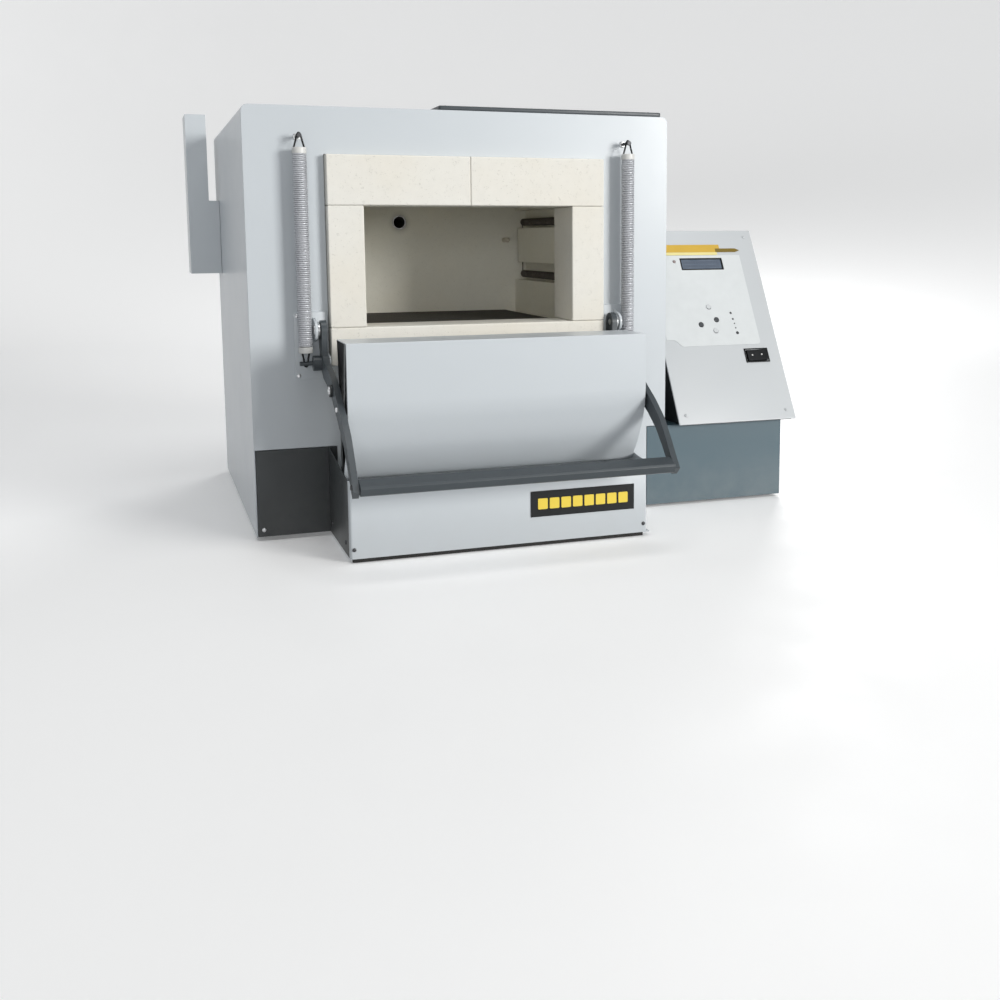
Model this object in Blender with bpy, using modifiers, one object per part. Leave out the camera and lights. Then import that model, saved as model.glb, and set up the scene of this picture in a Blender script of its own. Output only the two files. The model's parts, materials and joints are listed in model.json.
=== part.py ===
"""Bench-top chamber kiln with a parallel-swinging door, shown with the door down and open.

Metres, +Z up, the front faces -Y. Working coordinates put x = 0 on the middle of the cabinet,
y = 0 on its front face and z = 0 under the feet; FRAME_SHIFT then centres the bounding box.
"""
import math

import bmesh
import bpy
from mathutils import Matrix, Vector

SHEET = 0.002
GAP = 0.0003
SIDES = 24

CABINET_HALF = 0.313
CABINET_DEPTH = 0.545
CABINET_HEIGHT = 0.600
BASE_HEIGHT = 0.1285
UNDERSIDE = 0.004
CORNER_RADIUS = 0.009

BASE_RIGHT = 0.521
BASE_BOX_DEPTH = 0.360
SKIRT_LEFT = -0.1975
SKIRT_RIGHT = 0.2815

COLLAR_HALF = 0.204
COLLAR_FRONT = -0.015
COLLAR_BACK = 0.065
COLLAR_BOTTOM = 0.245
COLLAR_TOP = 0.535
OPENING_HALF = 0.1535
OPENING_BOTTOM = 0.2975
OPENING_TOP = 0.466

CHAMBER_HALF = 0.171
CHAMBER_BACK = 0.320
CHAMBER_FLOOR = 0.288
CHAMBER_ROOF = 0.476
BRICK_HALF = 0.231
BRICK_BACK = 0.380
BRICK_BOTTOM = 0.225
BRICK_TOP = 0.536
INSULATION_BACK = 0.470

GROOVE_DEPTH = 0.020
GROOVE_FLOORS = (0.349, 0.437)
GROOVE_HEIGHT = 0.030
TUBE_RISE = 0.010
TUBE_X = 0.181
TUBE_RADIUS = 0.004
COIL_RADIUS = 0.0070
COIL_WIRE = 0.0011
COIL_TURNS = 14

FLUE_X = -0.032
FLUE_Z = 0.447
FLUE_INNER = 0.010
FLUE_OUTER = 0.012
FLUE_BEND_Y = 0.507
PROBE_X = 0.152
PROBE_Z = 0.417
PROBE_RADIUS = 0.004

DUCT_LEFT = -0.364
DUCT_RISER_RIGHT = -0.330
DUCT_FRONT = 0.470
DUCT_BACK = 0.545
DUCT_BOTTOM = 0.362
DUCT_STEP = 0.486
DUCT_TOP = 0.630

PIVOT = (-0.018, 0.295)
DOOR_PIVOT = (-0.1072, 0.2218)
GUIDE_DROP = 0.045
SPRING_PIN = (-0.020, 0.250)
DOOR_PROFILE = ((-0.090, 0.288), (-0.161, 0.288), (-0.161, 0.212), (-0.1585, 0.188),
                (-0.150, 0.161), (-0.136, 0.136), (-0.118, 0.110), (-0.112, 0.104), (-0.090, 0.104))
DOOR_BACK = -0.087
DOOR_HALF = 0.2085
PLATE_OUTER = 0.2070
PLATE_INNER = 0.2045
EAR_INNER = 0.2062
LINK_INNER = 0.2088
LINK_OUTER = 0.2108
ARM_INNER = 0.2112
ARM_OUTER = 0.2192
ARM_LINE = ((-0.018, 0.295), (-0.0165, 0.272), (-0.022, 0.253), (-0.038, 0.2415), (-0.060, 0.237),
            (-0.085, 0.231), (-0.1072, 0.2218), (-0.1334, 0.2059), (-0.1664, 0.1869),
            (-0.1942, 0.1675), (-0.2159, 0.1440), (-0.2350, 0.1210), (-0.246, 0.109))
ARM_WIDTHS = (0.014, 0.013, 0.0125, 0.012, 0.012, 0.012, 0.012, 0.011, 0.0107, 0.010, 0.0085, 0.0075, 0.0070)
LUG_RADIUS = 0.0105
LUG_OUTER = 0.2305
BAR_CENTRE = (-0.2425, 0.1175)
BAR_DEPTH = 0.024
BAR_HEIGHT = 0.014
BAR_TILT = math.radians(20.0)

SPRING_X = 0.240
SPRING_Y = -0.020
HOOK_Z = 0.558
SPRING_RADIUS = 0.0072
SPRING_WIRE = 0.0014
SPRING_TURNS = 24
LOOP_RADIUS = 0.0055

COVER_HALF = 0.2105
COVER_FRONT = -0.162
COVER_BOTTOM = 0.006
COVER_TOP = 0.114
CHEEK_TOP = 0.128
PLATE_X = (0.0372, 0.1900)
PLATE_Z = (0.0415, 0.0775)

FASCIA_X = (0.330, 0.537)
FASCIA_FOOT = (-0.018, 0.1306)
FASCIA_HEAD = (0.148, 0.431)
HOUSING_X = (0.337, 0.530)
HOUSING_BACK = 0.300
FASCIA_SHEET = 0.003
DISPLAY_SPOT = ((0.395, 0.470), (0.2705, 0.2895))
LAMP_SPOT = (0.383, 0.285)
KEY_SPOTS = {"key_up": (0.4265, 0.2015), "key_left": (0.4060, 0.1700),
             "key_right": (0.4355, 0.1780), "key_down": (0.4300, 0.1585)}
KEY_RADIUS = 0.0042
SWITCH_SPOT = ((0.4745, 0.5125), (0.102, 0.122))
ROCKER_DEPTH = -0.0020

GLAND_END = 0.560
FRONT_REACH = -0.2553
FRAME_SHIFT = Vector((-0.5 * (DUCT_LEFT + FASCIA_X[1]), -0.5 * (FRONT_REACH + GLAND_END), 0.0))

PALETTE = {
    "light_paint": ((0.60, 0.63, 0.65, 1.0), 0.0, 0.30),
    "slate_paint": ((0.075, 0.098, 0.115, 1.0), 0.0, 0.35),
    "anthracite": ((0.045, 0.050, 0.055, 1.0), 0.2, 0.38),
    "brick": ((0.80, 0.77, 0.70, 1.0), 0.0, 0.95),
    "fibre": ((0.85, 0.84, 0.80, 1.0), 0.0, 1.0),
    "hearth": ((0.050, 0.045, 0.038, 1.0), 0.0, 0.85),
    "ceramic": ((0.70, 0.66, 0.58, 1.0), 0.0, 0.60),
    "element": ((0.10, 0.09, 0.08, 1.0), 0.8, 0.60),
    "steel": ((0.42, 0.43, 0.44, 1.0), 1.0, 0.32),
    "black": ((0.010, 0.011, 0.012, 1.0), 0.0, 0.35),
    "rubber": ((0.015, 0.015, 0.016, 1.0), 0.0, 0.80),
    "display": ((0.050, 0.065, 0.085, 1.0), 0.0, 0.12),
    "lamp": ((0.45, 0.06, 0.03, 1.0), 0.0, 0.25),
    "key": ((0.24, 0.26, 0.28, 1.0), 0.0, 0.50),
}


def clear_scene():
    for obj in list(bpy.data.objects):
        bpy.data.objects.remove(obj, do_unlink=True)


def make_collections():
    parts = bpy.data.collections.new("kiln")
    cutters = bpy.data.collections.new("cutters")
    bpy.context.scene.collection.children.link(parts)
    bpy.context.scene.collection.children.link(cutters)
    return parts, cutters


def make_material(name):
    colour, metallic, roughness = PALETTE[name]
    material = bpy.data.materials.new(name)
    material.use_nodes = True
    shader = material.node_tree.nodes["Principled BSDF"]
    shader.inputs["Base Color"].default_value = colour
    shader.inputs["Metallic"].default_value = metallic
    shader.inputs["Roughness"].default_value = roughness
    return material


clear_scene()
PARTS, CUTTERS = make_collections()
MATERIALS = {name: make_material(name) for name in PALETTE}


def to_object(name, bm, collection, origin=(0.0, 0.0, 0.0)):
    bmesh.ops.recalc_face_normals(bm, faces=bm.faces)
    mesh = bpy.data.meshes.new(name)
    bm.to_mesh(mesh)
    bm.free()
    mesh.transform(Matrix.Translation(-Vector(origin)))
    mesh.shade_smooth()
    mesh.set_sharp_from_angle(angle=math.radians(35.0))
    obj = bpy.data.objects.new(name, mesh)
    obj.location = Vector(origin) + FRAME_SHIFT
    collection.objects.link(obj)
    return obj


def part(name, bm, material, origin=(0.0, 0.0, 0.0)):
    obj = to_object(name, bm, PARTS, origin)
    obj.data.materials.append(MATERIALS[material])
    return obj


def chamfer(obj, width):
    modifier = obj.modifiers.new("chamfer", "BEVEL")
    modifier.width = width
    modifier.segments = 1
    modifier.limit_method = "ANGLE"


def boolean(obj, bm, label, operation="DIFFERENCE"):
    cutter = to_object(obj.name + "_" + label, bm, CUTTERS)
    cutter.hide_render = True
    cutter.display_type = "WIRE"
    modifier = obj.modifiers.new(label, "BOOLEAN")
    modifier.operation = operation
    modifier.solver = "EXACT"
    modifier.object = cutter


def box(low, high):
    size = Vector(high) - Vector(low)
    place = Matrix.Translation(0.5 * (Vector(low) + Vector(high))) @ Matrix.Diagonal((*size, 1.0))
    bm = bmesh.new()
    bmesh.ops.create_cube(bm, size=1.0, matrix=place)
    return bm


def lift(pair, level, axis):
    """Put an outline's two numbers on the axes other than the given one."""
    co = list(pair)
    co.insert(axis, level)
    return Vector(co)


def prism(outline, start, end, axis):
    """Extrude a closed outline from one level to another along axis 0, 1 or 2."""
    bm = bmesh.new()
    face = bm.faces.new([bm.verts.new(lift(pair, start, axis)) for pair in outline])
    grown = bmesh.ops.extrude_face_region(bm, geom=[face])
    moved = [item for item in grown["geom"] if isinstance(item, bmesh.types.BMVert)]
    bmesh.ops.translate(bm, verts=moved, vec=lift((0.0, 0.0), end - start, axis))
    return bm


def rod(centre, radius, start, end, axis, sides=SIDES):
    turn = (Matrix.Rotation(math.pi / 2.0, 4, "Y"), Matrix.Rotation(math.pi / 2.0, 4, "X"),
            Matrix.Identity(4))[axis]
    place = Matrix.Translation(lift(centre, 0.5 * (start + end), axis)) @ turn
    bm = bmesh.new()
    bmesh.ops.create_cone(bm, cap_ends=True, segments=sides, radius1=radius, radius2=radius,
                          depth=abs(end - start), matrix=place)
    return bm


def stepped_rod(centre, steps, axis, sides=SIDES):
    """A turned piece: steps lists (level, radius) pairs from one end to the other."""
    bm = bmesh.new()
    profile = [(steps[0][0], 0.0)] + list(steps) + [(steps[-1][0], 0.0)]
    verts = [bm.verts.new(lift((centre[0] + radius, centre[1]), level, axis)) for level, radius in profile]
    edges = [bm.edges.new(pair) for pair in zip(verts[:-1], verts[1:])]
    bmesh.ops.spin(bm, geom=verts + edges, cent=lift(centre, 0.0, axis), axis=lift((0.0, 0.0), 1.0, axis),
                   angle=2.0 * math.pi, steps=sides, use_merge=True)
    bmesh.ops.remove_doubles(bm, verts=bm.verts, dist=0.00001)
    return bm


def wire(points, radius, resolution=0):
    """A round wire or bar along a line of points, as a welded mesh."""
    curve = bpy.data.curves.new("wire", "CURVE")
    curve.dimensions = "3D"
    curve.bevel_depth = radius
    curve.bevel_resolution = resolution
    curve.use_fill_caps = True
    spline = curve.splines.new("POLY")
    spline.points.add(len(points) - 1)
    for target, point in zip(spline.points, points):
        target.co = (*point, 1.0)
    obj = bpy.data.objects.new("wire", curve)
    CUTTERS.objects.link(obj)
    evaluated = obj.evaluated_get(bpy.context.evaluated_depsgraph_get())
    mesh = bpy.data.meshes.new_from_object(evaluated)
    bm = bmesh.new()
    bm.from_mesh(mesh)
    bmesh.ops.remove_doubles(bm, verts=bm.verts, dist=0.00001)
    bpy.data.objects.remove(obj, do_unlink=True)
    return bm


def arch(half, foot, top, radius):
    """Outline from the left foot over two rounded top corners to the right foot."""
    points = [(-half, foot)]
    for centre, first in (((-half + radius, top - radius), 180.0), ((half - radius, top - radius), 90.0)):
        for step in range(4):
            turn = math.radians(first - 30.0 * step)
            points.append((centre[0] + radius * math.cos(turn), centre[1] + radius * math.sin(turn)))
    points.append((half, foot))
    return points


def casing_wrap():
    outer = arch(CABINET_HALF, UNDERSIDE + 0.0005, CABINET_HEIGHT, CORNER_RADIUS)
    inner = arch(CABINET_HALF - SHEET, UNDERSIDE + 0.0005, CABINET_HEIGHT - SHEET, CORNER_RADIUS - SHEET)
    wrap = part("casing_wrap", prism(outer + inner[::-1], SHEET + GAP, CABINET_DEPTH - SHEET - GAP, 1),
                "light_paint")
    hole = rod((FLUE_BEND_Y, FLUE_Z), FLUE_OUTER + GAP, -CABINET_HALF - 0.01, -CABINET_HALF + 0.01, 0)
    boolean(wrap, hole, "flue_hole")


def front_panel():
    top = arch(CABINET_HALF, BASE_HEIGHT + 2 * GAP, CABINET_HEIGHT, CORNER_RADIUS)
    skirt = [(SKIRT_RIGHT, BASE_HEIGHT + 2 * GAP), (SKIRT_RIGHT, COVER_BOTTOM),
             (SKIRT_LEFT, COVER_BOTTOM), (SKIRT_LEFT, BASE_HEIGHT + 2 * GAP)]
    panel = part("front_panel", prism(top + skirt, 0.0, SHEET, 1), "light_paint")
    edge = COLLAR_HALF + 2 * GAP
    window = box((-edge, -0.01, COLLAR_BOTTOM - 2 * GAP), (edge, 0.01, COLLAR_TOP + 2 * GAP))
    boolean(panel, window, "collar_window")


def rear_panel():
    outline = arch(CABINET_HALF, UNDERSIDE + 0.0005, CABINET_HEIGHT, CORNER_RADIUS)
    panel = part("rear_panel", prism(outline, CABINET_DEPTH - SHEET, CABINET_DEPTH, 1), "light_paint")
    back = CABINET_DEPTH - 0.01, CABINET_DEPTH + 0.01
    boolean(panel, rod((0.22, 0.07), 0.0083, back[0], back[1], 1), "gland_hole")
    for row in range(5):
        level = 0.15 + 0.018 * row
        boolean(panel, box((-0.10, back[0], level), (0.10, back[1], level + 0.006)), "vent_%d" % row)


def bottom_plate():
    edge = CABINET_HALF - SHEET - GAP
    part("bottom_plate", box((-edge, 0.0306, UNDERSIDE + 0.0005),
                             (edge, CABINET_DEPTH - SHEET - GAP, UNDERSIDE + 0.0005 + SHEET)), "light_paint")


def top_access_cover():
    part("top_access_cover", box((-0.040, 0.003, CABINET_HEIGHT + GAP), (0.300, 0.420, CABINET_HEIGHT + 0.0035)),
         "anthracite")


def base_panel_left():
    foot = COVER_BOTTOM
    profile = [(0.0, foot), (0.030, foot), (0.030, foot + SHEET), (SHEET, foot + SHEET),
               (SHEET, BASE_HEIGHT), (0.0, BASE_HEIGHT)]
    part("base_panel_left", prism(profile, -CABINET_HALF + SHEET + GAP, SKIRT_LEFT - 2 * GAP, 0), "anthracite")


def controller_base():
    left = CABINET_HALF + 2 * GAP
    plan = [(SKIRT_RIGHT + 2 * GAP, 0.0), (BASE_RIGHT - 0.004, 0.0), (BASE_RIGHT - 0.0012, 0.0012),
            (BASE_RIGHT, 0.004), (BASE_RIGHT, BASE_BOX_DEPTH), (left, BASE_BOX_DEPTH), (left, SHEET),
            (SKIRT_RIGHT + 2 * GAP, SHEET)]
    base = part("controller_base", prism(plan, UNDERSIDE, BASE_HEIGHT, 2), "slate_paint")
    inside = box((left + SHEET, SHEET, 0.0), (BASE_RIGHT - SHEET, BASE_BOX_DEPTH - SHEET, BASE_HEIGHT - SHEET))
    boolean(base, inside, "inside")


def feet():
    spots = {"foot_front_left": (-0.27, 0.05), "foot_rear_left": (-0.27, 0.49),
             "foot_front_right": (0.27, 0.05), "foot_rear_right": (0.27, 0.49)}
    for name, spot in spots.items():
        steps = ((0.0, 0.012), (0.0012, 0.014), (UNDERSIDE + 0.0002, 0.014))
        part(name, stepped_rod(spot, steps, 2, 20), "rubber")


def chamber_bricks():
    front = COLLAR_BACK + GAP
    part("chamber_floor", box((-BRICK_HALF, front, BRICK_BOTTOM), (BRICK_HALF, BRICK_BACK, CHAMBER_FLOOR)),
         "brick")
    part("chamber_roof", box((-BRICK_HALF, front, CHAMBER_ROOF), (BRICK_HALF, BRICK_BACK, BRICK_TOP)), "brick")
    low, high = CHAMBER_FLOOR + GAP, CHAMBER_ROOF - GAP
    for name, side in (("chamber_wall_left", -1.0), ("chamber_wall_right", 1.0)):
        xs = sorted((side * CHAMBER_HALF, side * BRICK_HALF))
        wall = part(name, box((xs[0], front, low), (xs[1], CHAMBER_BACK, high)), "brick")
        cut = sorted((side * (CHAMBER_HALF - 0.01), side * (CHAMBER_HALF + GROOVE_DEPTH)))
        for index, floor in enumerate(GROOVE_FLOORS):
            groove = box((cut[0], 0.0, floor), (cut[1], 0.35, floor + GROOVE_HEIGHT))
            boolean(wall, groove, "groove_%d" % index)
        riser = box((cut[0], 0.302, GROOVE_FLOORS[0] + 0.01), (cut[1], 0.35, GROOVE_FLOORS[1] + 0.01))
        boolean(wall, riser, "riser")
    back = part("chamber_wall_back", box((-BRICK_HALF, CHAMBER_BACK + GAP, low), (BRICK_HALF, BRICK_BACK, high)),
                "brick")
    boolean(back, rod((FLUE_X, FLUE_Z), FLUE_OUTER + GAP, 0.30, 0.40, 1), "flue_hole")
    boolean(back, rod((PROBE_X, PROBE_Z), PROBE_RADIUS + GAP, 0.30, 0.40, 1), "probe_hole")


def insulation_block():
    edge = CABINET_HALF - 0.005
    block = part("insulation_block", box((-edge, 0.003, 0.135), (edge, INSULATION_BACK, 0.596)), "fibre")
    mouth = COLLAR_HALF + GAP
    boolean(block, box((-mouth, -0.01, COLLAR_BOTTOM - GAP), (mouth, 0.10, COLLAR_TOP + GAP)), "collar_space")
    core = BRICK_HALF + GAP
    space = box((-core, COLLAR_BACK - GAP, BRICK_BOTTOM - GAP), (core, BRICK_BACK + GAP, BRICK_TOP + GAP))
    boolean(block, space, "chamber_space")
    boolean(block, rod((FLUE_X, FLUE_Z), FLUE_OUTER + GAP, 0.37, 0.48, 1), "flue_hole")
    boolean(block, rod((PROBE_X, PROBE_Z), PROBE_RADIUS + GAP, 0.37, 0.48, 1), "probe_hole")


def collar_bricks():
    joint = 0.5 * GAP
    bricks = {
        "lintel_left": ((-COLLAR_HALF, OPENING_TOP + joint), (-joint, COLLAR_TOP)),
        "lintel_right": ((joint, OPENING_TOP + joint), (COLLAR_HALF, COLLAR_TOP)),
        "jamb_left": ((-COLLAR_HALF, OPENING_BOTTOM + joint), (-OPENING_HALF, OPENING_TOP - joint)),
        "jamb_right": ((OPENING_HALF, OPENING_BOTTOM + joint), (COLLAR_HALF, OPENING_TOP - joint)),
        "sill": ((-COLLAR_HALF, COLLAR_BOTTOM), (COLLAR_HALF, OPENING_BOTTOM - joint)),
    }
    for name, (low, high) in bricks.items():
        block = box((low[0], COLLAR_FRONT, low[1]), (high[0], COLLAR_BACK, high[1]))
        chamfer(part(name, block, "brick"), 0.0012)


def hearth_plate():
    top = OPENING_BOTTOM - 0.001
    part("hearth_plate", box((-0.150, COLLAR_BACK + 0.002, CHAMBER_FLOOR + GAP), (0.150, 0.312, top)), "hearth")


def heaters():
    for label, side in (("left", -1.0), ("right", 1.0)):
        centres = [floor + TUBE_RISE for floor in GROOVE_FLOORS]
        for level, centre in zip(("lower", "upper"), centres):
            tube = rod((side * TUBE_X, centre), TUBE_RADIUS, 0.070, 0.3035, 1, 12)
            part("support_tube_%s_%s" % (label, level), tube, "ceramic")
        points = coil_points(side * TUBE_X, centres[0], 0.078, 0.300)
        points += coil_points(side * TUBE_X, centres[1], 0.078, 0.300)[::-1]
        part("heating_coil_" + label, wire(points, COIL_WIRE), "element")


def coil_points(x, z, start, end):
    """A helix along y that starts free at the front and finishes beside the riser slot."""
    steps = COIL_TURNS * 8
    points = []
    for k in range(steps + 1):
        turn = 2.0 * math.pi * k / 8.0
        points.append(Vector((x + COIL_RADIUS * math.sin(turn), start + (end - start) * k / steps,
                              z + COIL_RADIUS * math.cos(turn))))
    points.append(Vector((x, end + 0.008, z + COIL_RADIUS)))
    return points


def flue_pipe():
    points = [Vector((FLUE_X, 0.322, FLUE_Z))]
    radius = 0.026
    for step in range(7):
        turn = math.radians(15.0 * step)
        points.append(Vector((FLUE_X - radius * (1.0 - math.cos(turn)),
                              FLUE_BEND_Y - radius * (1.0 - math.sin(turn)), FLUE_Z)))
    points.append(Vector((-CABINET_HALF - 0.005, FLUE_BEND_Y, FLUE_Z)))
    obj = part("flue_pipe", wire(points, FLUE_OUTER, 4), "steel")
    ahead = points[0] + Vector((0.0, -0.01, 0.0))
    beyond = points[-1] + Vector((-0.01, 0.0, 0.0))
    boolean(obj, wire([ahead] + points[1:-1] + [beyond], FLUE_INNER, 4), "bore")


def thermocouple():
    steps = ((0.296, 0.002), (0.299, PROBE_RADIUS), (0.474, PROBE_RADIUS), (0.474, 0.011), (0.502, 0.011))
    part("thermocouple", stepped_rod((PROBE_X, PROBE_Z), steps, 1, 16), "ceramic")


def duct_outline(inset, top):
    right = -CABINET_HALF - GAP - inset
    return [(DUCT_LEFT + inset, DUCT_BOTTOM + inset), (right, DUCT_BOTTOM + inset),
            (right, DUCT_STEP - inset), (DUCT_RISER_RIGHT - inset, DUCT_STEP - inset),
            (DUCT_RISER_RIGHT - inset, top), (DUCT_LEFT + inset, top)]


def vent_duct():
    wall = 0.0015
    duct = part("vent_duct", prism(duct_outline(0.0, DUCT_TOP), DUCT_FRONT, DUCT_BACK, 1), "light_paint")
    hollow = prism(duct_outline(wall, DUCT_TOP + 0.01), DUCT_FRONT + wall, DUCT_BACK - wall, 1)
    boolean(duct, hollow, "inside")
    hole = rod((FLUE_BEND_Y, FLUE_Z), FLUE_OUTER + GAP, -CABINET_HALF - 0.008, -CABINET_HALF + 0.008, 0)
    boolean(duct, hole, "flue_hole")


def spring_points(side):
    x = side * SPRING_X
    top = HOOK_Z + 0.0028 + GAP - (LOOP_RADIUS - SPRING_WIRE)
    points = []
    for degrees in range(225, -91, -35):
        turn = math.radians(degrees)
        points.append(Vector((x + LOOP_RADIUS * math.cos(turn), SPRING_Y, top + LOOP_RADIUS * math.sin(turn))))
    coil_top = top - LOOP_RADIUS - 0.006
    bottom = SPRING_PIN[1] - 0.003 - GAP + (LOOP_RADIUS - SPRING_WIRE)
    coil_bottom = bottom + LOOP_RADIUS + 0.006
    points.append(Vector((x, SPRING_Y, coil_top + 0.003)))
    steps = SPRING_TURNS * 8
    for k in range(steps + 1):
        turn = 2.0 * math.pi * k / 8.0
        points.append(Vector((x + SPRING_RADIUS * math.cos(turn), SPRING_Y + SPRING_RADIUS * math.sin(turn),
                              coil_top + (coil_bottom - coil_top) * k / steps)))
    points.append(Vector((x, SPRING_Y, coil_bottom - 0.003)))
    for degrees in range(90, -226, -35):
        turn = math.radians(degrees)
        points.append(Vector((x, SPRING_Y + LOOP_RADIUS * math.cos(turn), bottom + LOOP_RADIUS * math.sin(turn))))
    return points


def springs_and_hooks():
    for label, side in (("left", -1.0), ("right", 1.0)):
        hook = stepped_rod((side * SPRING_X, HOOK_Z),
                           ((-0.026, 0.0030), (-0.025, 0.0055), (-0.0235, 0.0055), (-0.0235, 0.0028),
                            (-0.005, 0.0028), (-0.005, 0.0070), (-GAP, 0.0070)), 1, 16)
        part("spring_hook_" + label, hook, "steel")
        origin = (side * SPRING_X, SPRING_Y, HOOK_Z)
        part("spring_" + label, wire(spring_points(side), SPRING_WIRE), "steel", origin)


def span(side, inner, outer):
    return sorted((side * inner, side * outer))


def bracket(label, side):
    """Wall plate with an outer ear for the swing arm and an inner ear for the guide link."""
    xs = span(side, EAR_INNER, 0.2530)
    obj = part("pivot_bracket_" + label, box((xs[0], -0.0033, 0.226), (xs[1], -GAP, 0.320)), "anthracite")
    ear = span(side, 0.2235, 0.2275)
    profile = [(-0.0010, 0.278), (-0.018, 0.281), (-0.027, 0.285), (-0.0315, 0.295), (-0.027, 0.305),
               (-0.018, 0.309), (-0.0010, 0.312)]
    boolean(obj, prism(profile, ear[0], ear[1], 0), "ear", "UNION")
    boss = span(side, ARM_OUTER + 0.0004, 0.2284)
    boolean(obj, rod(PIVOT, 0.0100, boss[0], boss[1], 0), "boss", "UNION")
    pin = span(side, LINK_OUTER + GAP, 0.2250)
    boolean(obj, rod(PIVOT, 0.0050, pin[0], pin[1], 0), "pin", "UNION")
    ear = span(side, EAR_INNER, LINK_INNER - GAP)
    profile = [(-0.0010, 0.236), (-0.018, 0.239), (-0.025, 0.243), (-0.028, 0.250), (-0.025, 0.257),
               (-0.018, 0.261), (-0.0010, 0.264)]
    boolean(obj, prism(profile, ear[0], ear[1], 0), "guide_ear", "UNION")
    lower = (PIVOT[0], PIVOT[1] - GUIDE_DROP)
    pin = span(side, EAR_INNER + 0.0010, LINK_OUTER)
    boolean(obj, rod(lower, 0.0040, pin[0], pin[1], 0), "guide_pin", "UNION")


def ribbon(points, widths):
    """Outline of a flat bar that follows a line, with a half width at each point."""
    left, right = [], []
    for index, (point, width) in enumerate(zip(points, widths)):
        before = Vector(points[max(index - 1, 0)])
        after = Vector(points[min(index + 1, len(points) - 1)])
        along = (after - before).normalized()
        left.append((point[0] - along.y * width, point[1] + along.x * width))
        right.append((point[0] + along.y * width, point[1] - along.x * width))
    return left, right


def swing_arm(label, side):
    """Flat curved bar with a round head at its pivot and a lug that carries the spring's pin."""
    left, right = ribbon(ARM_LINE, ARM_WIDTHS)
    head = []
    for degrees in (150, 120, 90, 60, 30):
        turn = math.radians(degrees)
        head.append((PIVOT[0] + 0.014 * math.cos(turn), PIVOT[1] + 0.014 * math.sin(turn)))
    xs = span(side, ARM_INNER, ARM_OUTER)
    arm = part("swing_arm_" + label, prism(left + right[::-1] + head, xs[0], xs[1], 0), "anthracite",
               (side * ARM_INNER, PIVOT[0], PIVOT[1]))
    far = span(side, ARM_INNER - 0.01, ARM_OUTER + 0.01)
    boolean(arm, rod(PIVOT, 0.0053, far[0], far[1], 0), "pivot_hole")
    boolean(arm, rod(DOOR_PIVOT, 0.0053, far[0], far[1], 0), "door_hole")
    lug = span(side, ARM_OUTER - 0.001, LUG_OUTER)
    boolean(arm, rod(SPRING_PIN, LUG_RADIUS, lug[0], lug[1], 0), "spring_lug", "UNION")
    pin = span(side, LUG_OUTER - 0.002, SPRING_X + 0.0085)
    boolean(arm, rod(SPRING_PIN, 0.0030, pin[0], pin[1], 0, 16), "spring_pin", "UNION")


def handle_bar():
    half_depth, half_height, chamfer = 0.5 * BAR_DEPTH, 0.5 * BAR_HEIGHT, 0.0025
    corners = []
    for sy, sz in ((-1, -1), (1, -1), (1, 1), (-1, 1)):
        first = (sy * (half_depth - chamfer), sz * half_height)
        second = (sy * half_depth, sz * (half_height - chamfer))
        corners += [second, first] if sy * sz > 0 else [first, second]
    cos, sin = math.cos(BAR_TILT), math.sin(BAR_TILT)
    outline = [(BAR_CENTRE[0] + y * cos - z * sin, BAR_CENTRE[1] + y * sin + z * cos) for y, z in corners]
    edge = ARM_INNER - GAP
    part("handle_bar", prism(outline, -edge, edge, 0), "anthracite", (0.0, PIVOT[0], PIVOT[1]))


def guide_link(label, side):
    start = Vector((PIVOT[0], PIVOT[1] - GUIDE_DROP))
    end = Vector((DOOR_PIVOT[0], DOOR_PIVOT[1] - GUIDE_DROP))
    base = math.atan2(end.y - start.y, end.x - start.x)
    outline = []
    for centre, first in ((end, base - math.pi / 2), (start, base + math.pi / 2)):
        for step in range(9):
            turn = first + math.pi * step / 8.0
            outline.append((centre.x + 0.008 * math.cos(turn), centre.y + 0.008 * math.sin(turn)))
    xs = span(side, LINK_INNER, LINK_OUTER)
    link = part("guide_link_" + label, prism(outline, xs[0], xs[1], 0), "anthracite",
                (side * LINK_INNER, start.x, start.y))
    far = span(side, LINK_INNER - 0.01, LINK_OUTER + 0.01)
    boolean(link, rod(start, 0.0043, far[0], far[1], 0), "frame_hole")
    boolean(link, rod(end, 0.0043, far[0], far[1], 0), "door_hole")


def inset_profile(profile, inset, back):
    """Move the door's outer profile inwards, leaving its back edge at the given y."""
    inner = []
    for index, point in enumerate(profile):
        if index in (0, len(profile) - 1):
            sign = -1.0 if index == 0 else 1.0
            inner.append((back, point[1] + sign * inset))
            continue
        before = (Vector(profile[index]) - Vector(profile[index - 1])).normalized()
        after = (Vector(profile[index + 1]) - Vector(profile[index])).normalized()
        normal = (Vector((-before.y, before.x)) + Vector((-after.y, after.x))).normalized()
        reach = inset / max(normal.dot(Vector((-before.y, before.x))), 0.4)
        inner.append((point[0] + normal.x * reach, point[1] + normal.y * reach))
    return inner


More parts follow.
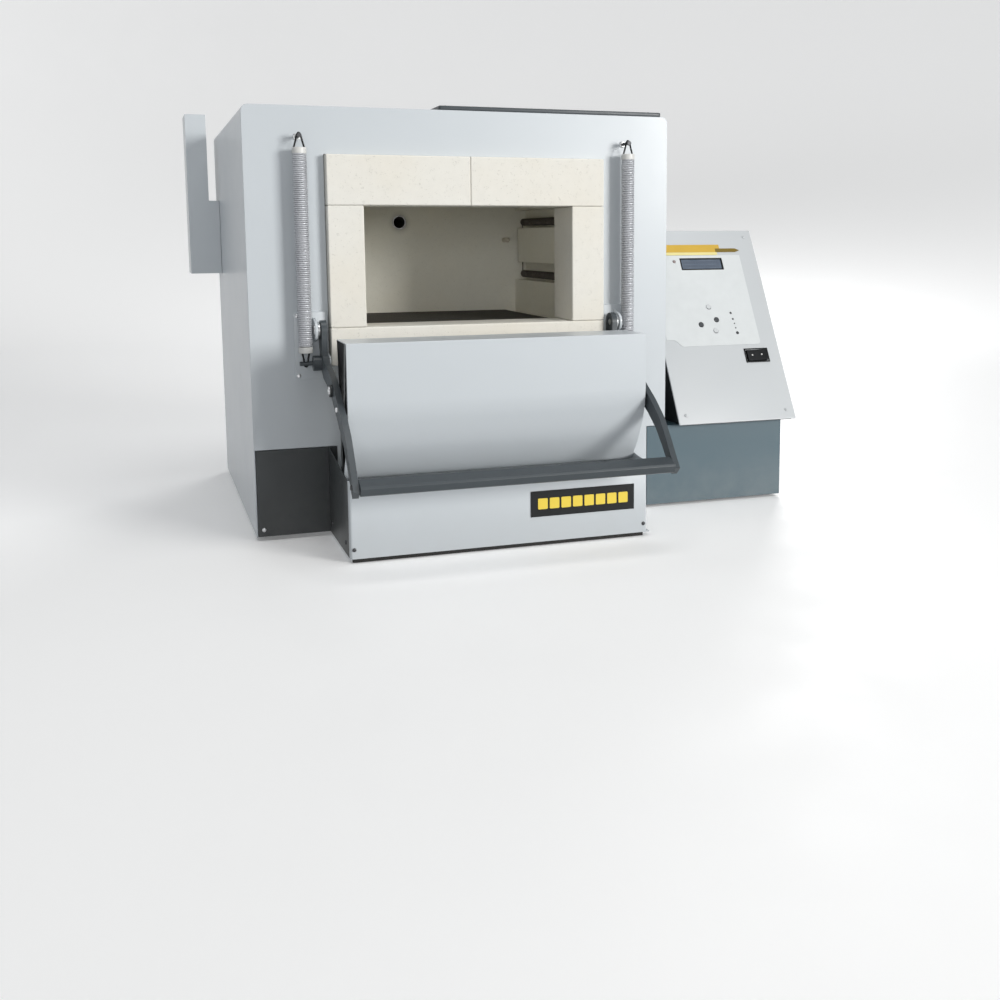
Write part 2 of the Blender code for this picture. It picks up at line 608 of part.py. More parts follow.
def door():
    """Folded front sheet around an insulating block, closed by a recessed plate at each end."""
    origin = (0.0, DOOR_PIVOT[0], DOOR_PIVOT[1])
    back = DOOR_PROFILE[0][0]
    shell = list(DOOR_PROFILE) + inset_profile(DOOR_PROFILE, SHEET, back)[::-1]
    part("door_shell", prism(shell, -DOOR_HALF, DOOR_HALF, 0), "light_paint", origin)
    filling = inset_profile(DOOR_PROFILE, SHEET + GAP, DOOR_BACK)
    edge = PLATE_INNER - GAP
    part("door_insulation", prism(filling, -edge, edge, 0), "fibre", origin)
    end_shape = inset_profile(DOOR_PROFILE, SHEET + GAP, back)
    for label, side in (("left", -1.0), ("right", 1.0)):
        xs = span(side, PLATE_INNER, PLATE_OUTER)
        plate = part("door_side_plate_" + label, prism(end_shape, xs[0], xs[1], 0), "anthracite", origin)
        stud = span(side, PLATE_OUTER - 0.001, ARM_OUTER + 0.0020)
        boolean(plate, rod(DOOR_PIVOT, 0.0050, stud[0], stud[1], 0), "stud", "UNION")
        head = span(side, ARM_OUTER + GAP, ARM_OUTER + 0.0035)
        boolean(plate, rod(DOOR_PIVOT, 0.0085, head[0], head[1], 0), "stud_head", "UNION")
        low = span(side, PLATE_OUTER - 0.001, LINK_OUTER)
        lower = (DOOR_PIVOT[0], DOOR_PIVOT[1] - GUIDE_DROP)
        boolean(plate, rod(lower, 0.0040, low[0], low[1], 0), "guide_stud", "UNION")


def lower_cover():
    wall = 0.0015
    cover = part("lower_cover", box((-COVER_HALF, COVER_FRONT, COVER_BOTTOM), (COVER_HALF, -2 * GAP, CHEEK_TOP)),
                 "light_paint")
    edge = COVER_HALF - wall
    boolean(cover, box((-edge, COVER_FRONT + wall, COVER_BOTTOM + wall), (edge, 0.01, 0.2)), "inside")
    slope = [(COVER_FRONT - 0.01, COVER_TOP), (COVER_FRONT + 0.012, COVER_TOP), (0.0, CHEEK_TOP), (0.01, 0.2),
             (COVER_FRONT - 0.01, 0.2)]
    boolean(cover, prism(slope, -COVER_HALF - 0.01, COVER_HALF + 0.01, 0), "sloping_top")


def name_plate():
    part("name_plate", box((PLATE_X[0], COVER_FRONT - GAP - 0.0012, PLATE_Z[0]),
                           (PLATE_X[1], COVER_FRONT - GAP, PLATE_Z[1])), "black")


SLOPE = (Vector(FASCIA_HEAD) - Vector(FASCIA_FOOT)).normalized()
NORMAL = Vector((-SLOPE.y, SLOPE.x))


def fascia_point(x, up, out):
    """Point across the panel, up its slope and out of its face."""
    return Vector((x, FASCIA_FOOT[0] + SLOPE.x * up + NORMAL.x * out,
                   FASCIA_FOOT[1] + SLOPE.y * up + NORMAL.y * out))


def on_fascia(bm):
    """Turn a piece built flat onto the slanted fascia."""
    for vert in bm.verts:
        vert.co = fascia_point(*vert.co)
    return bm


def fascia():
    length = (Vector(FASCIA_HEAD) - Vector(FASCIA_FOOT)).length
    sheet = on_fascia(box((FASCIA_X[0], 0.0, -FASCIA_SHEET), (FASCIA_X[1], length, 0.0)))
    panel = part("controller_fascia", sheet, "light_paint")
    (x0, x1), (u0, u1) = DISPLAY_SPOT
    boolean(panel, on_fascia(box((x0, u0, -0.01), (x1, u1, 0.01))), "display_window")
    (x0, x1), (u0, u1) = SWITCH_SPOT
    boolean(panel, on_fascia(box((x0, u0, -0.01), (x1, u1, 0.01))), "switch_window")
    boolean(panel, on_fascia(rod(LAMP_SPOT, 0.0026 + GAP, -0.01, 0.01, 2, 16)), "lamp_hole")
    for name, spot in KEY_SPOTS.items():
        boolean(panel, on_fascia(rod(spot, KEY_RADIUS + GAP, -0.01, 0.01, 2, 16)), name + "_hole")


def fascia_fittings():
    (x0, x1), (u0, u1) = DISPLAY_SPOT
    window = box((x0 + GAP, u0 + GAP, -FASCIA_SHEET), (x1 - GAP, u1 - GAP, -0.0006))
    part("display_window", on_fascia(window), "display")
    lamp = stepped_rod(LAMP_SPOT, ((-FASCIA_SHEET, 0.0026), (0.0006, 0.0026), (0.0016, 0.0014)), 2, 16)
    part("status_lamp", on_fascia(lamp), "lamp")
    for name, spot in KEY_SPOTS.items():
        steps = ((-0.0070, 0.0060), (-FASCIA_SHEET - 0.0014, 0.0060), (-FASCIA_SHEET - 0.0014, KEY_RADIUS),
                 (0.0010, KEY_RADIUS), (0.0014, KEY_RADIUS - 0.0006))
        part(name, on_fascia(stepped_rod(spot, steps, 2, 16)), "key", fascia_point(spot[0], spot[1], 0.0))


def switch_profile(middle):
    """Rocker in cross-section, tipped so that its left half is pressed in."""
    shape = [(-0.0172, 0.0012), (-0.0172, 0.0040), (0.0, 0.0018), (0.0172, 0.0040), (0.0172, 0.0012),
             (0.0080, -0.0085), (-0.0080, -0.0085)]
    tip = math.radians(5.0)
    outline = []
    for x, out in shape:
        rise = out - ROCKER_DEPTH
        outline.append((middle + x * math.cos(tip) - rise * math.sin(tip),
                        ROCKER_DEPTH + x * math.sin(tip) + rise * math.cos(tip)))
    return outline


def power_switch():
    (x0, x1), (u0, u1) = SWITCH_SPOT
    middle = 0.5 * (x0 + x1)
    rocker = prism(switch_profile(middle), u0 + 0.0008, u1 - 0.0008, 1)
    part("power_switch", on_fascia(rocker), "black", fascia_point(middle, 0.5 * (u0 + u1), ROCKER_DEPTH))


def controller_housing():
    foot = BASE_HEIGHT + GAP
    inset = FASCIA_SHEET + GAP
    lower = Vector(FASCIA_FOOT) - NORMAL * inset
    start = lower + SLOPE * ((foot - lower.y) / SLOPE.y)
    end = Vector(FASCIA_HEAD) - NORMAL * inset - SLOPE * 0.003
    profile = [(start.x, foot), (end.x, end.y), (HOUSING_BACK, end.y), (HOUSING_BACK, foot)]
    housing = part("controller_housing", prism(profile, HOUSING_X[0], HOUSING_X[1], 0), "anthracite")
    shift = NORMAL * 0.05
    inside = [(start.x + shift.x, foot + SHEET), (end.x + shift.x, end.y - SHEET),
              (HOUSING_BACK - SHEET, end.y - SHEET), (HOUSING_BACK - SHEET, foot + SHEET)]
    boolean(housing, prism(inside, HOUSING_X[0] + SHEET, HOUSING_X[1] - SHEET, 0), "inside")


def cable_gland():
    steps = ((0.530, 0.0078), (0.5454, 0.0078), (0.5454, 0.0120), (0.5510, 0.0120), (0.5510, 0.0095),
             (0.5590, 0.0085), (GLAND_END, 0.0070))
    gland = part("cable_gland", stepped_rod((0.22, 0.07), steps, 1, 18), "black")
    boolean(gland, rod((0.22, 0.07), 0.0045, 0.51, 0.58, 1, 16), "cable_hole")


def build():
    casing_wrap()
    front_panel()
    rear_panel()
    bottom_plate()
    top_access_cover()
    base_panel_left()
    controller_base()
    feet()
    chamber_bricks()
    insulation_block()
    collar_bricks()
    hearth_plate()
    heaters()
    flue_pipe()
    thermocouple()
    vent_duct()
    springs_and_hooks()
    for label, side in (("left", -1.0), ("right", 1.0)):
        bracket(label, side)
        swing_arm(label, side)
        guide_link(label, side)
    handle_bar()
    door()
    lower_cover()
    name_plate()
    controller_housing()
    fascia()
    fascia_fittings()
    power_switch()
    cable_gland()


build()
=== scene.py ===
"""Looks for the bench-top chamber kiln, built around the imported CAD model.

Metres, +Z up. Helper positions are written from the middle of the cabinet's front face, at the
height the feet stand on, and at() turns them into the row frame.
"""
import json
import math

import bmesh
import bpy
from mathutils import Matrix, Vector


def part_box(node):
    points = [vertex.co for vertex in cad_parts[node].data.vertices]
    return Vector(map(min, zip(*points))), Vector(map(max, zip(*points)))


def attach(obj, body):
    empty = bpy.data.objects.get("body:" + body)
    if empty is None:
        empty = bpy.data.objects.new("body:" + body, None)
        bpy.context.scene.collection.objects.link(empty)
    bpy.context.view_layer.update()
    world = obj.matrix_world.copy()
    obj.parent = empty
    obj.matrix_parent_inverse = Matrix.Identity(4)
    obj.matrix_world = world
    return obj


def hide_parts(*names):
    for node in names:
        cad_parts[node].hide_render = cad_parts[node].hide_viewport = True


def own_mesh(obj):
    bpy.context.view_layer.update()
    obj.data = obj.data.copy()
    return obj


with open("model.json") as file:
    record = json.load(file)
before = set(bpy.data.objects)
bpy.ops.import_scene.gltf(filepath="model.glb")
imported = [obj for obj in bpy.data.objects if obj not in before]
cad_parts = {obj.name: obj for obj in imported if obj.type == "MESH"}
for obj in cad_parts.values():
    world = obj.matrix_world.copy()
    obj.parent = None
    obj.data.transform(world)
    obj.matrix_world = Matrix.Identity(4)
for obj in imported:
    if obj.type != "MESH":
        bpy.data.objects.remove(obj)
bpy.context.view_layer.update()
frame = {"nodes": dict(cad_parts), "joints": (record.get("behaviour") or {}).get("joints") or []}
NODES = frame["nodes"]
JOINTS = {joint["name"]: joint for joint in frame["joints"]}

FRONT_LOW, FRONT_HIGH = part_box("front_panel")
ORIGIN = Vector((0.5 * (FRONT_LOW.x + FRONT_HIGH.x), FRONT_LOW.y, 0.0))
SIDES = (("left", -1.0), ("right", 1.0))


def at(x, y, z):
    """A spot measured from the middle of the cabinet's front face, in row coordinates."""
    return ORIGIN + Vector((x, y, z))


# ------------ shader helpers

def add(tree, kind, inputs=None, **settings):
    """One shader node; an input is either a value or the socket that feeds it."""
    made = tree.nodes.new("ShaderNode" + kind)
    for key, value in settings.items():
        setattr(made, key, value)
    for key, value in (inputs or {}).items():
        if isinstance(value, bpy.types.NodeSocket):
            tree.links.new(value, made.inputs[key])
        else:
            made.inputs[key].default_value = value
    return made


class Finish:
    """A Principled material whose colour, roughness and bump come from noise in the piece's own space."""

    def __init__(self, name, metallic=0.0, coat=0.0, specular=0.5):
        self.material = bpy.data.materials.new(name)
        self.material.use_nodes = True
        self.tree = self.material.node_tree
        self.shader = self.tree.nodes["Principled BSDF"]
        self.shader.inputs["Metallic"].default_value = metallic
        self.shader.inputs["Coat Weight"].default_value = coat
        self.shader.inputs["Coat Roughness"].default_value = 0.12
        self.shader.inputs["Specular IOR Level"].default_value = specular
        self.space = add(self.tree, "TexCoord").outputs["Object"]
        self.height = None

    def stretched(self, scale):
        """The piece's own space, scaled differently along each axis."""
        return add(self.tree, "Mapping", {"Vector": self.space, "Scale": scale}).outputs["Vector"]

    def noise(self, scale, detail=3.0, rough=0.55, space=None):
        """Cloudy noise around 0.5."""
        inputs = {"Vector": space or self.space, "Scale": scale, "Detail": detail, "Roughness": rough}
        return add(self.tree, "TexNoise", inputs).outputs["Fac"]

    def cells(self, scale):
        """Distance to the nearest of many scattered points."""
        return add(self.tree, "TexVoronoi", {"Vector": self.space, "Scale": scale}).outputs["Distance"]

    def span(self, value, low, high, to_low=0.0, to_high=1.0):
        """A smooth step from one range of values to another."""
        inputs = {"Value": value, "From Min": low, "From Max": high, "To Min": to_low, "To Max": to_high}
        return add(self.tree, "MapRange", inputs, interpolation_type="SMOOTHSTEP").outputs["Result"]

    def product(self, first, second):
        """Two values multiplied."""
        return add(self.tree, "Math", {0: first, 1: second}, operation="MULTIPLY").outputs["Value"]

    def blend(self, factor, first, second):
        """A colour between two others."""
        made = add(self.tree, "Mix", data_type="RGBA")
        for key, value in ((0, factor), (6, first), (7, second)):
            if isinstance(value, bpy.types.NodeSocket):
                self.tree.links.new(value, made.inputs[key])
            else:
                made.inputs[key].default_value = value
        return made.outputs[2]

    def part_of(self, axis):
        """The coordinate along x, y or z in metres, as a socket."""
        return add(self.tree, "SeparateXYZ", {"Vector": self.space}).outputs[axis]

    def near(self, point, radius, edge):
        """1 close to a point, fading to 0 between radius and radius + edge."""
        made = add(self.tree, "VectorMath", {0: self.space, 1: tuple(point)}, operation="DISTANCE")
        return self.span(made.outputs["Value"], radius, radius + edge, 1.0, 0.0)

    def colour(self, value):
        """Use a socket as the base colour."""
        self.tree.links.new(value, self.shader.inputs["Base Color"])

    def roughness(self, value):
        """Use a socket as the roughness."""
        self.tree.links.new(value, self.shader.inputs["Roughness"])

    def bump(self, value, distance, strength):
        """Add a bump on top of those already there."""
        inputs = {"Height": value, "Distance": distance, "Strength": strength}
        if self.height is not None:
            inputs["Normal"] = self.height
        self.height = add(self.tree, "Bump", inputs).outputs["Normal"]
        self.tree.links.new(self.height, self.shader.inputs["Normal"])


def shade(colour, factor):
    """A colour made lighter or darker, with its alpha."""
    return (colour[0] * factor, colour[1] * factor, colour[2] * factor, 1.0)


def paint(name, colour, rough=0.34, coat=0.16, dust=0.22):
    """Sprayed paint: slight mottling and specks, orange peel and a little dust low down."""
    made = Finish(name, coat=coat)
    mottled = made.blend(made.noise(5.0, 4.0), shade(colour, 0.985), shade(colour, 1.01))
    specks = made.span(made.noise(900.0, 2.0), 0.66, 0.80)
    mottled = made.blend(made.product(specks, 0.25), mottled, shade(colour, 0.80))
    low = made.span(made.part_of("Z"), 0.0, 0.10, dust, 0.0)
    dusty = made.product(low, made.noise(30.0, 5.0))
    made.colour(made.blend(dusty, mottled, (0.42, 0.41, 0.38, 1.0)))
    made.roughness(made.span(made.noise(14.0, 5.0, 0.65), 0.35, 0.75, rough, rough + 0.04))
    made.bump(made.noise(420.0, 2.0), 0.00006, 0.35)
    made.bump(made.noise(6.0, 1.0), 0.0006, 0.05)
    return made.material


def satin(name, colour, rough=0.40):
    """Textured satin coating on the arms, the handle bar and the lid, with painted highlight patches in
    places.
    """
    made = Finish(name, coat=0.08)
    base = made.blend(made.noise(30.0, 5.0), shade(colour, 0.92), shade(colour, 1.08))
    # painted highlight: noise patches lightened towards 1.7 times the colour stand in for sheen on the satin
    # coat
    painted_highlights = made.span(made.noise(75.0, 4.0, 0.7), 0.66, 0.80)
    made.colour(made.blend(made.product(painted_highlights, 0.10), base, shade(colour, 1.7)))
    made.roughness(made.span(made.noise(40.0, 4.0), 0.3, 0.7, rough, rough + 0.07))
    made.bump(made.noise(1300.0, 3.0), 0.00007, 0.6)
    return made.material


def brick(name, colour, scorch=None):
    """Insulating firebrick: open pores, sandy grain and darker firing marks."""
    made = Finish(name, specular=0.2)
    sandy = made.blend(made.noise(60.0, 6.0, 0.65), shade(colour, 0.93), shade(colour, 1.03))
    clouds = made.span(made.noise(7.0, 3.0), 0.35, 0.75)
    warm = (colour[0] * 0.96, colour[1] * 0.90, colour[2] * 0.80, 1.0)
    sandy = made.blend(made.product(clouds, 0.30), sandy, warm)
    pores = made.span(made.cells(520.0), 0.10, 0.32, 1.0, 0.0)
    few = made.span(made.noise(160.0, 2.0), 0.50, 0.62)
    pitted = made.product(pores, few)
    sandy = made.blend(made.product(pitted, 0.55), sandy, shade(colour, 0.55))
    if scorch is not None:
        point, radius = scorch
        mark = made.product(made.near(point, 0.25 * radius, radius), 0.7)
        sandy = made.blend(mark, sandy, shade(colour, 0.32))
    made.colour(sandy)
    made.roughness(made.span(made.noise(200.0), 0.3, 0.7, 0.86, 0.98))
    made.bump(made.noise(900.0, 4.0, 0.7), 0.00022, 0.7)
    made.bump(made.span(pitted, 0.0, 1.0, 1.0, 0.0), 0.0006, 0.8)
    return made.material


def fibre():
    """Pressed ceramic fibre: soft matted strands, off-white."""
    made = Finish("fibre_board", specular=0.15)
    strands = made.noise(260.0, 5.0, 0.7, made.stretched((1.0, 4.0, 0.6)))
    made.colour(made.blend(strands, (0.66, 0.63, 0.56, 1.0), (0.86, 0.84, 0.78, 1.0)))
    made.roughness(made.span(strands, 0.3, 0.7, 0.9, 1.0))
    made.bump(strands, 0.0006, 0.8)
    made.bump(made.noise(40.0, 3.0), 0.0012, 0.5)
    return made.material


def hearth():
    """Dark silicon carbide plate with bright grains."""
    made = Finish("silicon_carbide", specular=0.35)
    grain = made.cells(1400.0)
    base = made.blend(made.noise(30.0, 4.0), (0.030, 0.028, 0.024, 1.0), (0.070, 0.064, 0.054, 1.0))
    made.colour(made.blend(made.span(grain, 0.0, 0.12, 0.5, 0.0), base, (0.20, 0.19, 0.17, 1.0)))
    made.roughness(made.span(grain, 0.0, 0.5, 0.5, 0.85))
    made.bump(grain, 0.0002, 0.6)
    return made.material


def ceramic():
    """Fired ceramic of the element tubes and the thermocouple sheath."""
    made = Finish("fired_ceramic")
    made.colour(made.blend(made.noise(90.0, 4.0), (0.52, 0.47, 0.38, 1.0), (0.70, 0.66, 0.57, 1.0)))
    made.roughness(made.span(made.noise(120.0), 0.3, 0.7, 0.5, 0.75))
    made.bump(made.noise(700.0), 0.0001, 0.5)
    return made.material


def element():
    """Oxidised resistance wire, dark with a warm grey bloom."""
    made = Finish("element_wire", metallic=0.7)
    made.colour(made.blend(made.noise(350.0, 3.0), (0.055, 0.048, 0.042, 1.0), (0.16, 0.14, 0.12, 1.0)))
    made.roughness(made.span(made.noise(200.0), 0.3, 0.7, 0.5, 0.8))
    made.bump(made.noise(2500.0), 0.00004, 0.6)
    return made.material


def metal(name, colour, rough, grain=(1.0, 1.0, 1.0)):
    """Plated or drawn steel with fine drawing lines and a little tarnish."""
    made = Finish(name, metallic=1.0)
    lines = made.noise(1500.0, 2.0, 0.6, made.stretched(grain))
    tarnish = made.span(made.noise(45.0, 5.0, 0.65), 0.45, 0.75)
    base = made.blend(lines, shade(colour, 0.85), shade(colour, 1.10))
    made.colour(made.blend(made.product(tarnish, 0.35), base, shade(colour, 0.55)))
    made.roughness(made.span(lines, 0.3, 0.7, rough - 0.06, rough + 0.12))
    made.bump(lines, 0.00003, 0.5)
    return made.material


def spring_finish():
    """Dull galvanised spring wire, pale grey with darker streaks along it."""
    made = Finish("spring_steel", metallic=0.55)
    streaks = made.noise(240.0, 4.0, 0.6, made.stretched((1.0, 1.0, 0.15)))
    made.colour(made.blend(streaks, (0.40, 0.41, 0.43, 1.0), (0.56, 0.57, 0.60, 1.0)))
    made.roughness(made.span(streaks, 0.3, 0.7, 0.48, 0.60))
    made.bump(made.noise(1500.0, 2.0), 0.00002, 0.4)
    return made.material


def moulded(name, colour, rough=0.35, coat=0.0, specular=0.5):
    """Moulded plastic with a fine spark-eroded grain."""
    made = Finish(name, coat=coat, specular=specular)
    made.colour(made.blend(made.noise(80.0, 4.0), shade(colour, 0.85), shade(colour, 1.15)))
    made.roughness(made.span(made.noise(60.0, 4.0), 0.3, 0.7, rough - 0.06, rough + 0.10))
    made.bump(made.cells(2600.0), 0.00003, 0.5)
    return made.material


def rubber():
    """Matte black rubber."""
    made = Finish("rubber_feet_and_painted_shadow_strip", specular=0.3)
    made.colour(made.blend(made.noise(120.0, 4.0), (0.012, 0.012, 0.012, 1.0), (0.035, 0.034, 0.032, 1.0)))
    made.roughness(made.span(made.noise(300.0), 0.3, 0.7, 0.70, 0.92))
    made.bump(made.noise(900.0, 4.0), 0.0002, 0.6)
    return made.material


def printed(name, colour, rough=0.45):
    """Screen-printed film: even ink with a faint weave."""
    made = Finish(name)
    made.colour(made.blend(made.noise(60.0, 4.0), shade(colour, 0.94), shade(colour, 1.04)))
    made.roughness(made.span(made.noise(25.0, 4.0), 0.3, 0.7, rough - 0.05, rough + 0.08))
    made.bump(made.noise(1800.0, 2.0), 0.00002, 0.5)
    return made.material


def display_glass():
    """Dark display window, lit a little unevenly."""
    made = Finish("display_glass", coat=0.6)
    sweep = made.span(made.noise(26.0, 2.0), 0.3, 0.7)
    made.colour(made.blend(sweep, (0.085, 0.110, 0.150, 1.0), (0.135, 0.165, 0.210, 1.0)))
    made.roughness(made.span(made.noise(90.0), 0.3, 0.7, 0.10, 0.20))
    made.bump(made.noise(20.0, 1.0), 0.0001, 0.2)
    return made.material


def floor_finish():
    """Plain pale studio floor that glows a little, so that it runs evenly into the background."""
    made = Finish("studio_floor", specular=0.3)
    made.colour(made.blend(made.noise(1.5, 3.0), (0.93, 0.93, 0.925, 1.0), (0.95, 0.95, 0.945, 1.0)))
    made.roughness(made.span(made.noise(8.0, 4.0), 0.3, 0.7, 0.50, 0.62))
    made.bump(made.noise(300.0, 2.0), 0.00005, 0.3)
    made.shader.inputs["Emission Color"].default_value = (1.0, 1.0, 1.0, 1.0)
    made.shader.inputs["Emission Strength"].default_value = 0.12
    return made.material


LIGHT_GREY = (0.535, 0.572, 0.598)
SLATE = (0.056, 0.100, 0.124)
ANTHRACITE = (0.040, 0.050, 0.057)
CREAM = (0.77, 0.755, 0.70)
# painted light: the chamber brick is made lighter than the collar's cream to make up for the dim light inside
# the chamber
CHAMBER_CREAM_WITH_PAINTED_LIGHT = (0.80, 0.785, 0.70)
FLUE_SPOT = at(-0.032, 0.320, 0.447)
SCORCH_RADIUS = 0.018

MATERIALS = {
    "light_paint": paint("light_grey_paint", LIGHT_GREY),
    "fascia_paint": paint("fascia_paint", (0.50, 0.522, 0.535), 0.40, 0.06),
    "slate_paint": paint("slate_paint", SLATE, 0.34, 0.15),
    # dark panel paint; it also serves as painted shade on the controller housing and on the lower cover's
    # left cheek
    "dark_paint_and_painted_shade": paint("dark_panel_paint_and_painted_shade", (0.017, 0.021, 0.023), 0.42, 0.05, dust=0.10),
    "anthracite": satin("anthracite_satin", ANTHRACITE),
    "collar_brick": brick("collar_brick", CREAM),
    "chamber_brick": brick("chamber_brick", CHAMBER_CREAM_WITH_PAINTED_LIGHT, (FLUE_SPOT, SCORCH_RADIUS)),
    "fibre": fibre(),
    "hearth": hearth(),
    "ceramic": ceramic(),
    "element": element(),
    "spring_steel": spring_finish(),
    "zinc": metal("zinc_plated_steel", (0.62, 0.63, 0.64), 0.28),
    "flue_steel": metal("flue_steel", (0.34, 0.33, 0.32), 0.40, (0.2, 1.0, 1.0)),
    "dark_steel": metal("blackened_steel", (0.075, 0.076, 0.080), 0.42),
    "cap_white": moulded("pale_cap", (0.62, 0.62, 0.60), 0.40),
    "black": moulded("black_plastic", (0.008, 0.009, 0.010), 0.42, specular=0.22),
    "rubber": rubber(),
    "display": display_glass(),
    "lamp": moulded("lamp_lens", (0.30, 0.25, 0.24), 0.18, 0.5),
    "key_light": moulded("pale_key", (0.53, 0.55, 0.56), 0.50),
    "key_dark": moulded("dark_key", (0.045, 0.050, 0.055), 0.45),
    "film": printed("overlay_film", (0.60, 0.625, 0.63)),
    "yellow": printed("yellow_stripe", (0.55, 0.35, 0.045)),
    "pale_yellow": printed("pale_yellow_line", (0.70, 0.62, 0.27)),
    "olive": printed("olive_tag", (0.17, 0.115, 0.012)),
    "plate_yellow": printed("plate_yellow", (0.80, 0.60, 0.06)),
    "ink": printed("dark_ink", (0.035, 0.037, 0.040)),
    "white_ink": printed("white_ink", (0.60, 0.60, 0.58)),
    "ink_cells": printed("display_character_cells", (0.085, 0.105, 0.140), 0.30),
    "floor": floor_finish(),
}


# ------------ carried-over CAD nodes

SHARP_ANGLE = math.radians(32.0)
SMOOTH_ANGLE = math.radians(35.0)


def dress(node, material, bevel):
    """Give a CAD node its finish, and round its edges with modifiers that leave the mesh itself alone."""
    obj = NODES[node]
    obj.material_slots[0].material = MATERIALS[material]
    if bevel:
        weld = obj.modifiers.new("weld", "WELD")
        weld.merge_threshold = 0.00002
        flat = obj.modifiers.new("flat_faces", "DECIMATE")
        flat.decimate_type = "DISSOLVE"
        flat.angle_limit = math.radians(0.4)
        edge = obj.modifiers.new("edge_radius", "BEVEL")
        edge.width = bevel
        edge.segments = 3
        edge.limit_method = "ANGLE"
        edge.angle_limit = SHARP_ANGLE
        edge.miter_outer = "MITER_ARC"
        edge.use_clamp_overlap = True
        normal = obj.modifiers.new("even_normals", "WEIGHTED_NORMAL")
        normal.keep_sharp = False
        normal.weight = 60


DRESSING = {
    "casing_wrap": ("light_paint", 0.0008),
    "front_panel": ("light_paint", 0.0007),
    "bottom_plate": ("light_paint", 0.0),
    "vent_duct": ("light_paint", 0.0006),
    "door_shell": ("light_paint", 0.0010),
    "base_panel_left": ("dark_paint_and_painted_shade", 0.0007),
    # painted shade: the housing is painted dark so that the gap beside the fascia shows black as shadow
    "controller_housing": ("dark_paint_and_painted_shade", 0.0007),
    "controller_base": ("slate_paint", 0.0009),
    "handle_bar": ("anthracite", 0.0006),
    "chamber_floor": ("chamber_brick", 0.0010),
    "chamber_roof": ("chamber_brick", 0.0010),
    "chamber_wall_back": ("chamber_brick", 0.0),
    "sill": ("collar_brick", 0.0012),
    "insulation_block": ("fibre", 0.0),
    "door_insulation": ("fibre", 0.0014),
    "hearth_plate": ("hearth", 0.0012),
    "thermocouple": ("ceramic", 0.0004),
    "flue_pipe": ("flue_steel", 0.0),
    "name_plate": ("black", 0.0004),
    "power_switch": ("black", 0.0006),
    "cable_gland": ("black", 0.0004),
    "display_window": ("display", 0.0),
    "status_lamp": ("lamp", 0.0),
    "key_up": ("key_light", 0.0),
    "key_down": ("key_light", 0.0),
    "key_left": ("key_dark", 0.0),
    "key_right": ("key_dark", 0.0),
}
for end in ("front", "rear"):
    for side in ("left", "right"):
        DRESSING["foot_%s_%s" % (end, side)] = ("rubber", 0.0006)
for side in ("left", "right"):
    DRESSING["lintel_" + side] = ("collar_brick", 0.0010)
    DRESSING["jamb_" + side] = ("collar_brick", 0.0010)
    DRESSING["chamber_wall_" + side] = ("chamber_brick", 0.0010)
    DRESSING["swing_arm_" + side] = ("anthracite", 0.0007)
    DRESSING["guide_link_" + side] = ("dark_steel", 0.0006)
    DRESSING["door_side_plate_" + side] = ("dark_paint_and_painted_shade", 0.0005)
    for level in ("lower", "upper"):
        DRESSING["support_tube_%s_%s" % (side, level)] = ("ceramic", 0.0)


# ------------ mesh helpers

def middle(node):
    """The middle of a CAD node's box."""
    low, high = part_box(node)
    return 0.5 * (low + high)


def piece(name, bm, material, body, bevel=0.0):
    """A new shown mesh that rides on a CAD body."""
    bmesh.ops.recalc_face_normals(bm, faces=bm.faces)
    if bevel:
        sharp = [e for e in bm.edges if len(e.link_faces) == 2 and e.calc_face_angle() > SHARP_ANGLE]
        bmesh.ops.bevel(bm, geom=sharp, offset=bevel, segments=2, affect="EDGES", profile=0.5)
    mesh = bpy.data.meshes.new(name)
    bm.to_mesh(mesh)
    bm.free()
    mesh.shade_smooth()
    mesh.set_sharp_from_angle(angle=SMOOTH_ANGLE)
    obj = bpy.data.objects.new(name, mesh)
    obj.data.materials.append(MATERIALS[material])
    bpy.context.scene.collection.objects.link(obj)
    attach(obj, body)
    return obj


def slab(outline, low, high, place):
    """Extrude a flat outline from one height to another, then put it somewhere with a matrix."""
    bm = bmesh.new()
    face = bm.faces.new([bm.verts.new((x, y, low)) for x, y in outline])
    grown = bmesh.ops.extrude_face_region(bm, geom=[face])
    moved = [item for item in grown["geom"] if isinstance(item, bmesh.types.BMVert)]
    bmesh.ops.translate(bm, verts=moved, vec=(0.0, 0.0, high - low))
    bmesh.ops.transform(bm, matrix=place, verts=bm.verts)
    return bm


def joined(meshes):
    """Several bmeshes as one."""
    whole = bmesh.new()
    for bm in meshes:
        mesh = bpy.data.meshes.new("step")
        bm.to_mesh(mesh)
        bm.free()
        whole.from_mesh(mesh)
        bpy.data.meshes.remove(mesh)
    return whole


def turned(profile, place, sides=32):
    """A turned piece: profile lists (height, radius) pairs from one end to the other."""
    bm = bmesh.new()
    verts = [bm.verts.new((radius, 0.0, height)) for height, radius in profile]
    verts = [bm.verts.new((0.0, 0.0, profile[0][0]))] + verts + [bm.verts.new((0.0, 0.0, profile[-1][0]))]
    edges = [bm.edges.new(pair) for pair in zip(verts[:-1], verts[1:])]
    bmesh.ops.spin(bm, geom=verts + edges, cent=(0.0, 0.0, 0.0), axis=(0.0, 0.0, 1.0),
                   angle=2.0 * math.pi, steps=sides, use_merge=True)
    bmesh.ops.remove_doubles(bm, verts=bm.verts, dist=0.000005)
    bmesh.ops.transform(bm, matrix=place, verts=bm.verts)
    return bm


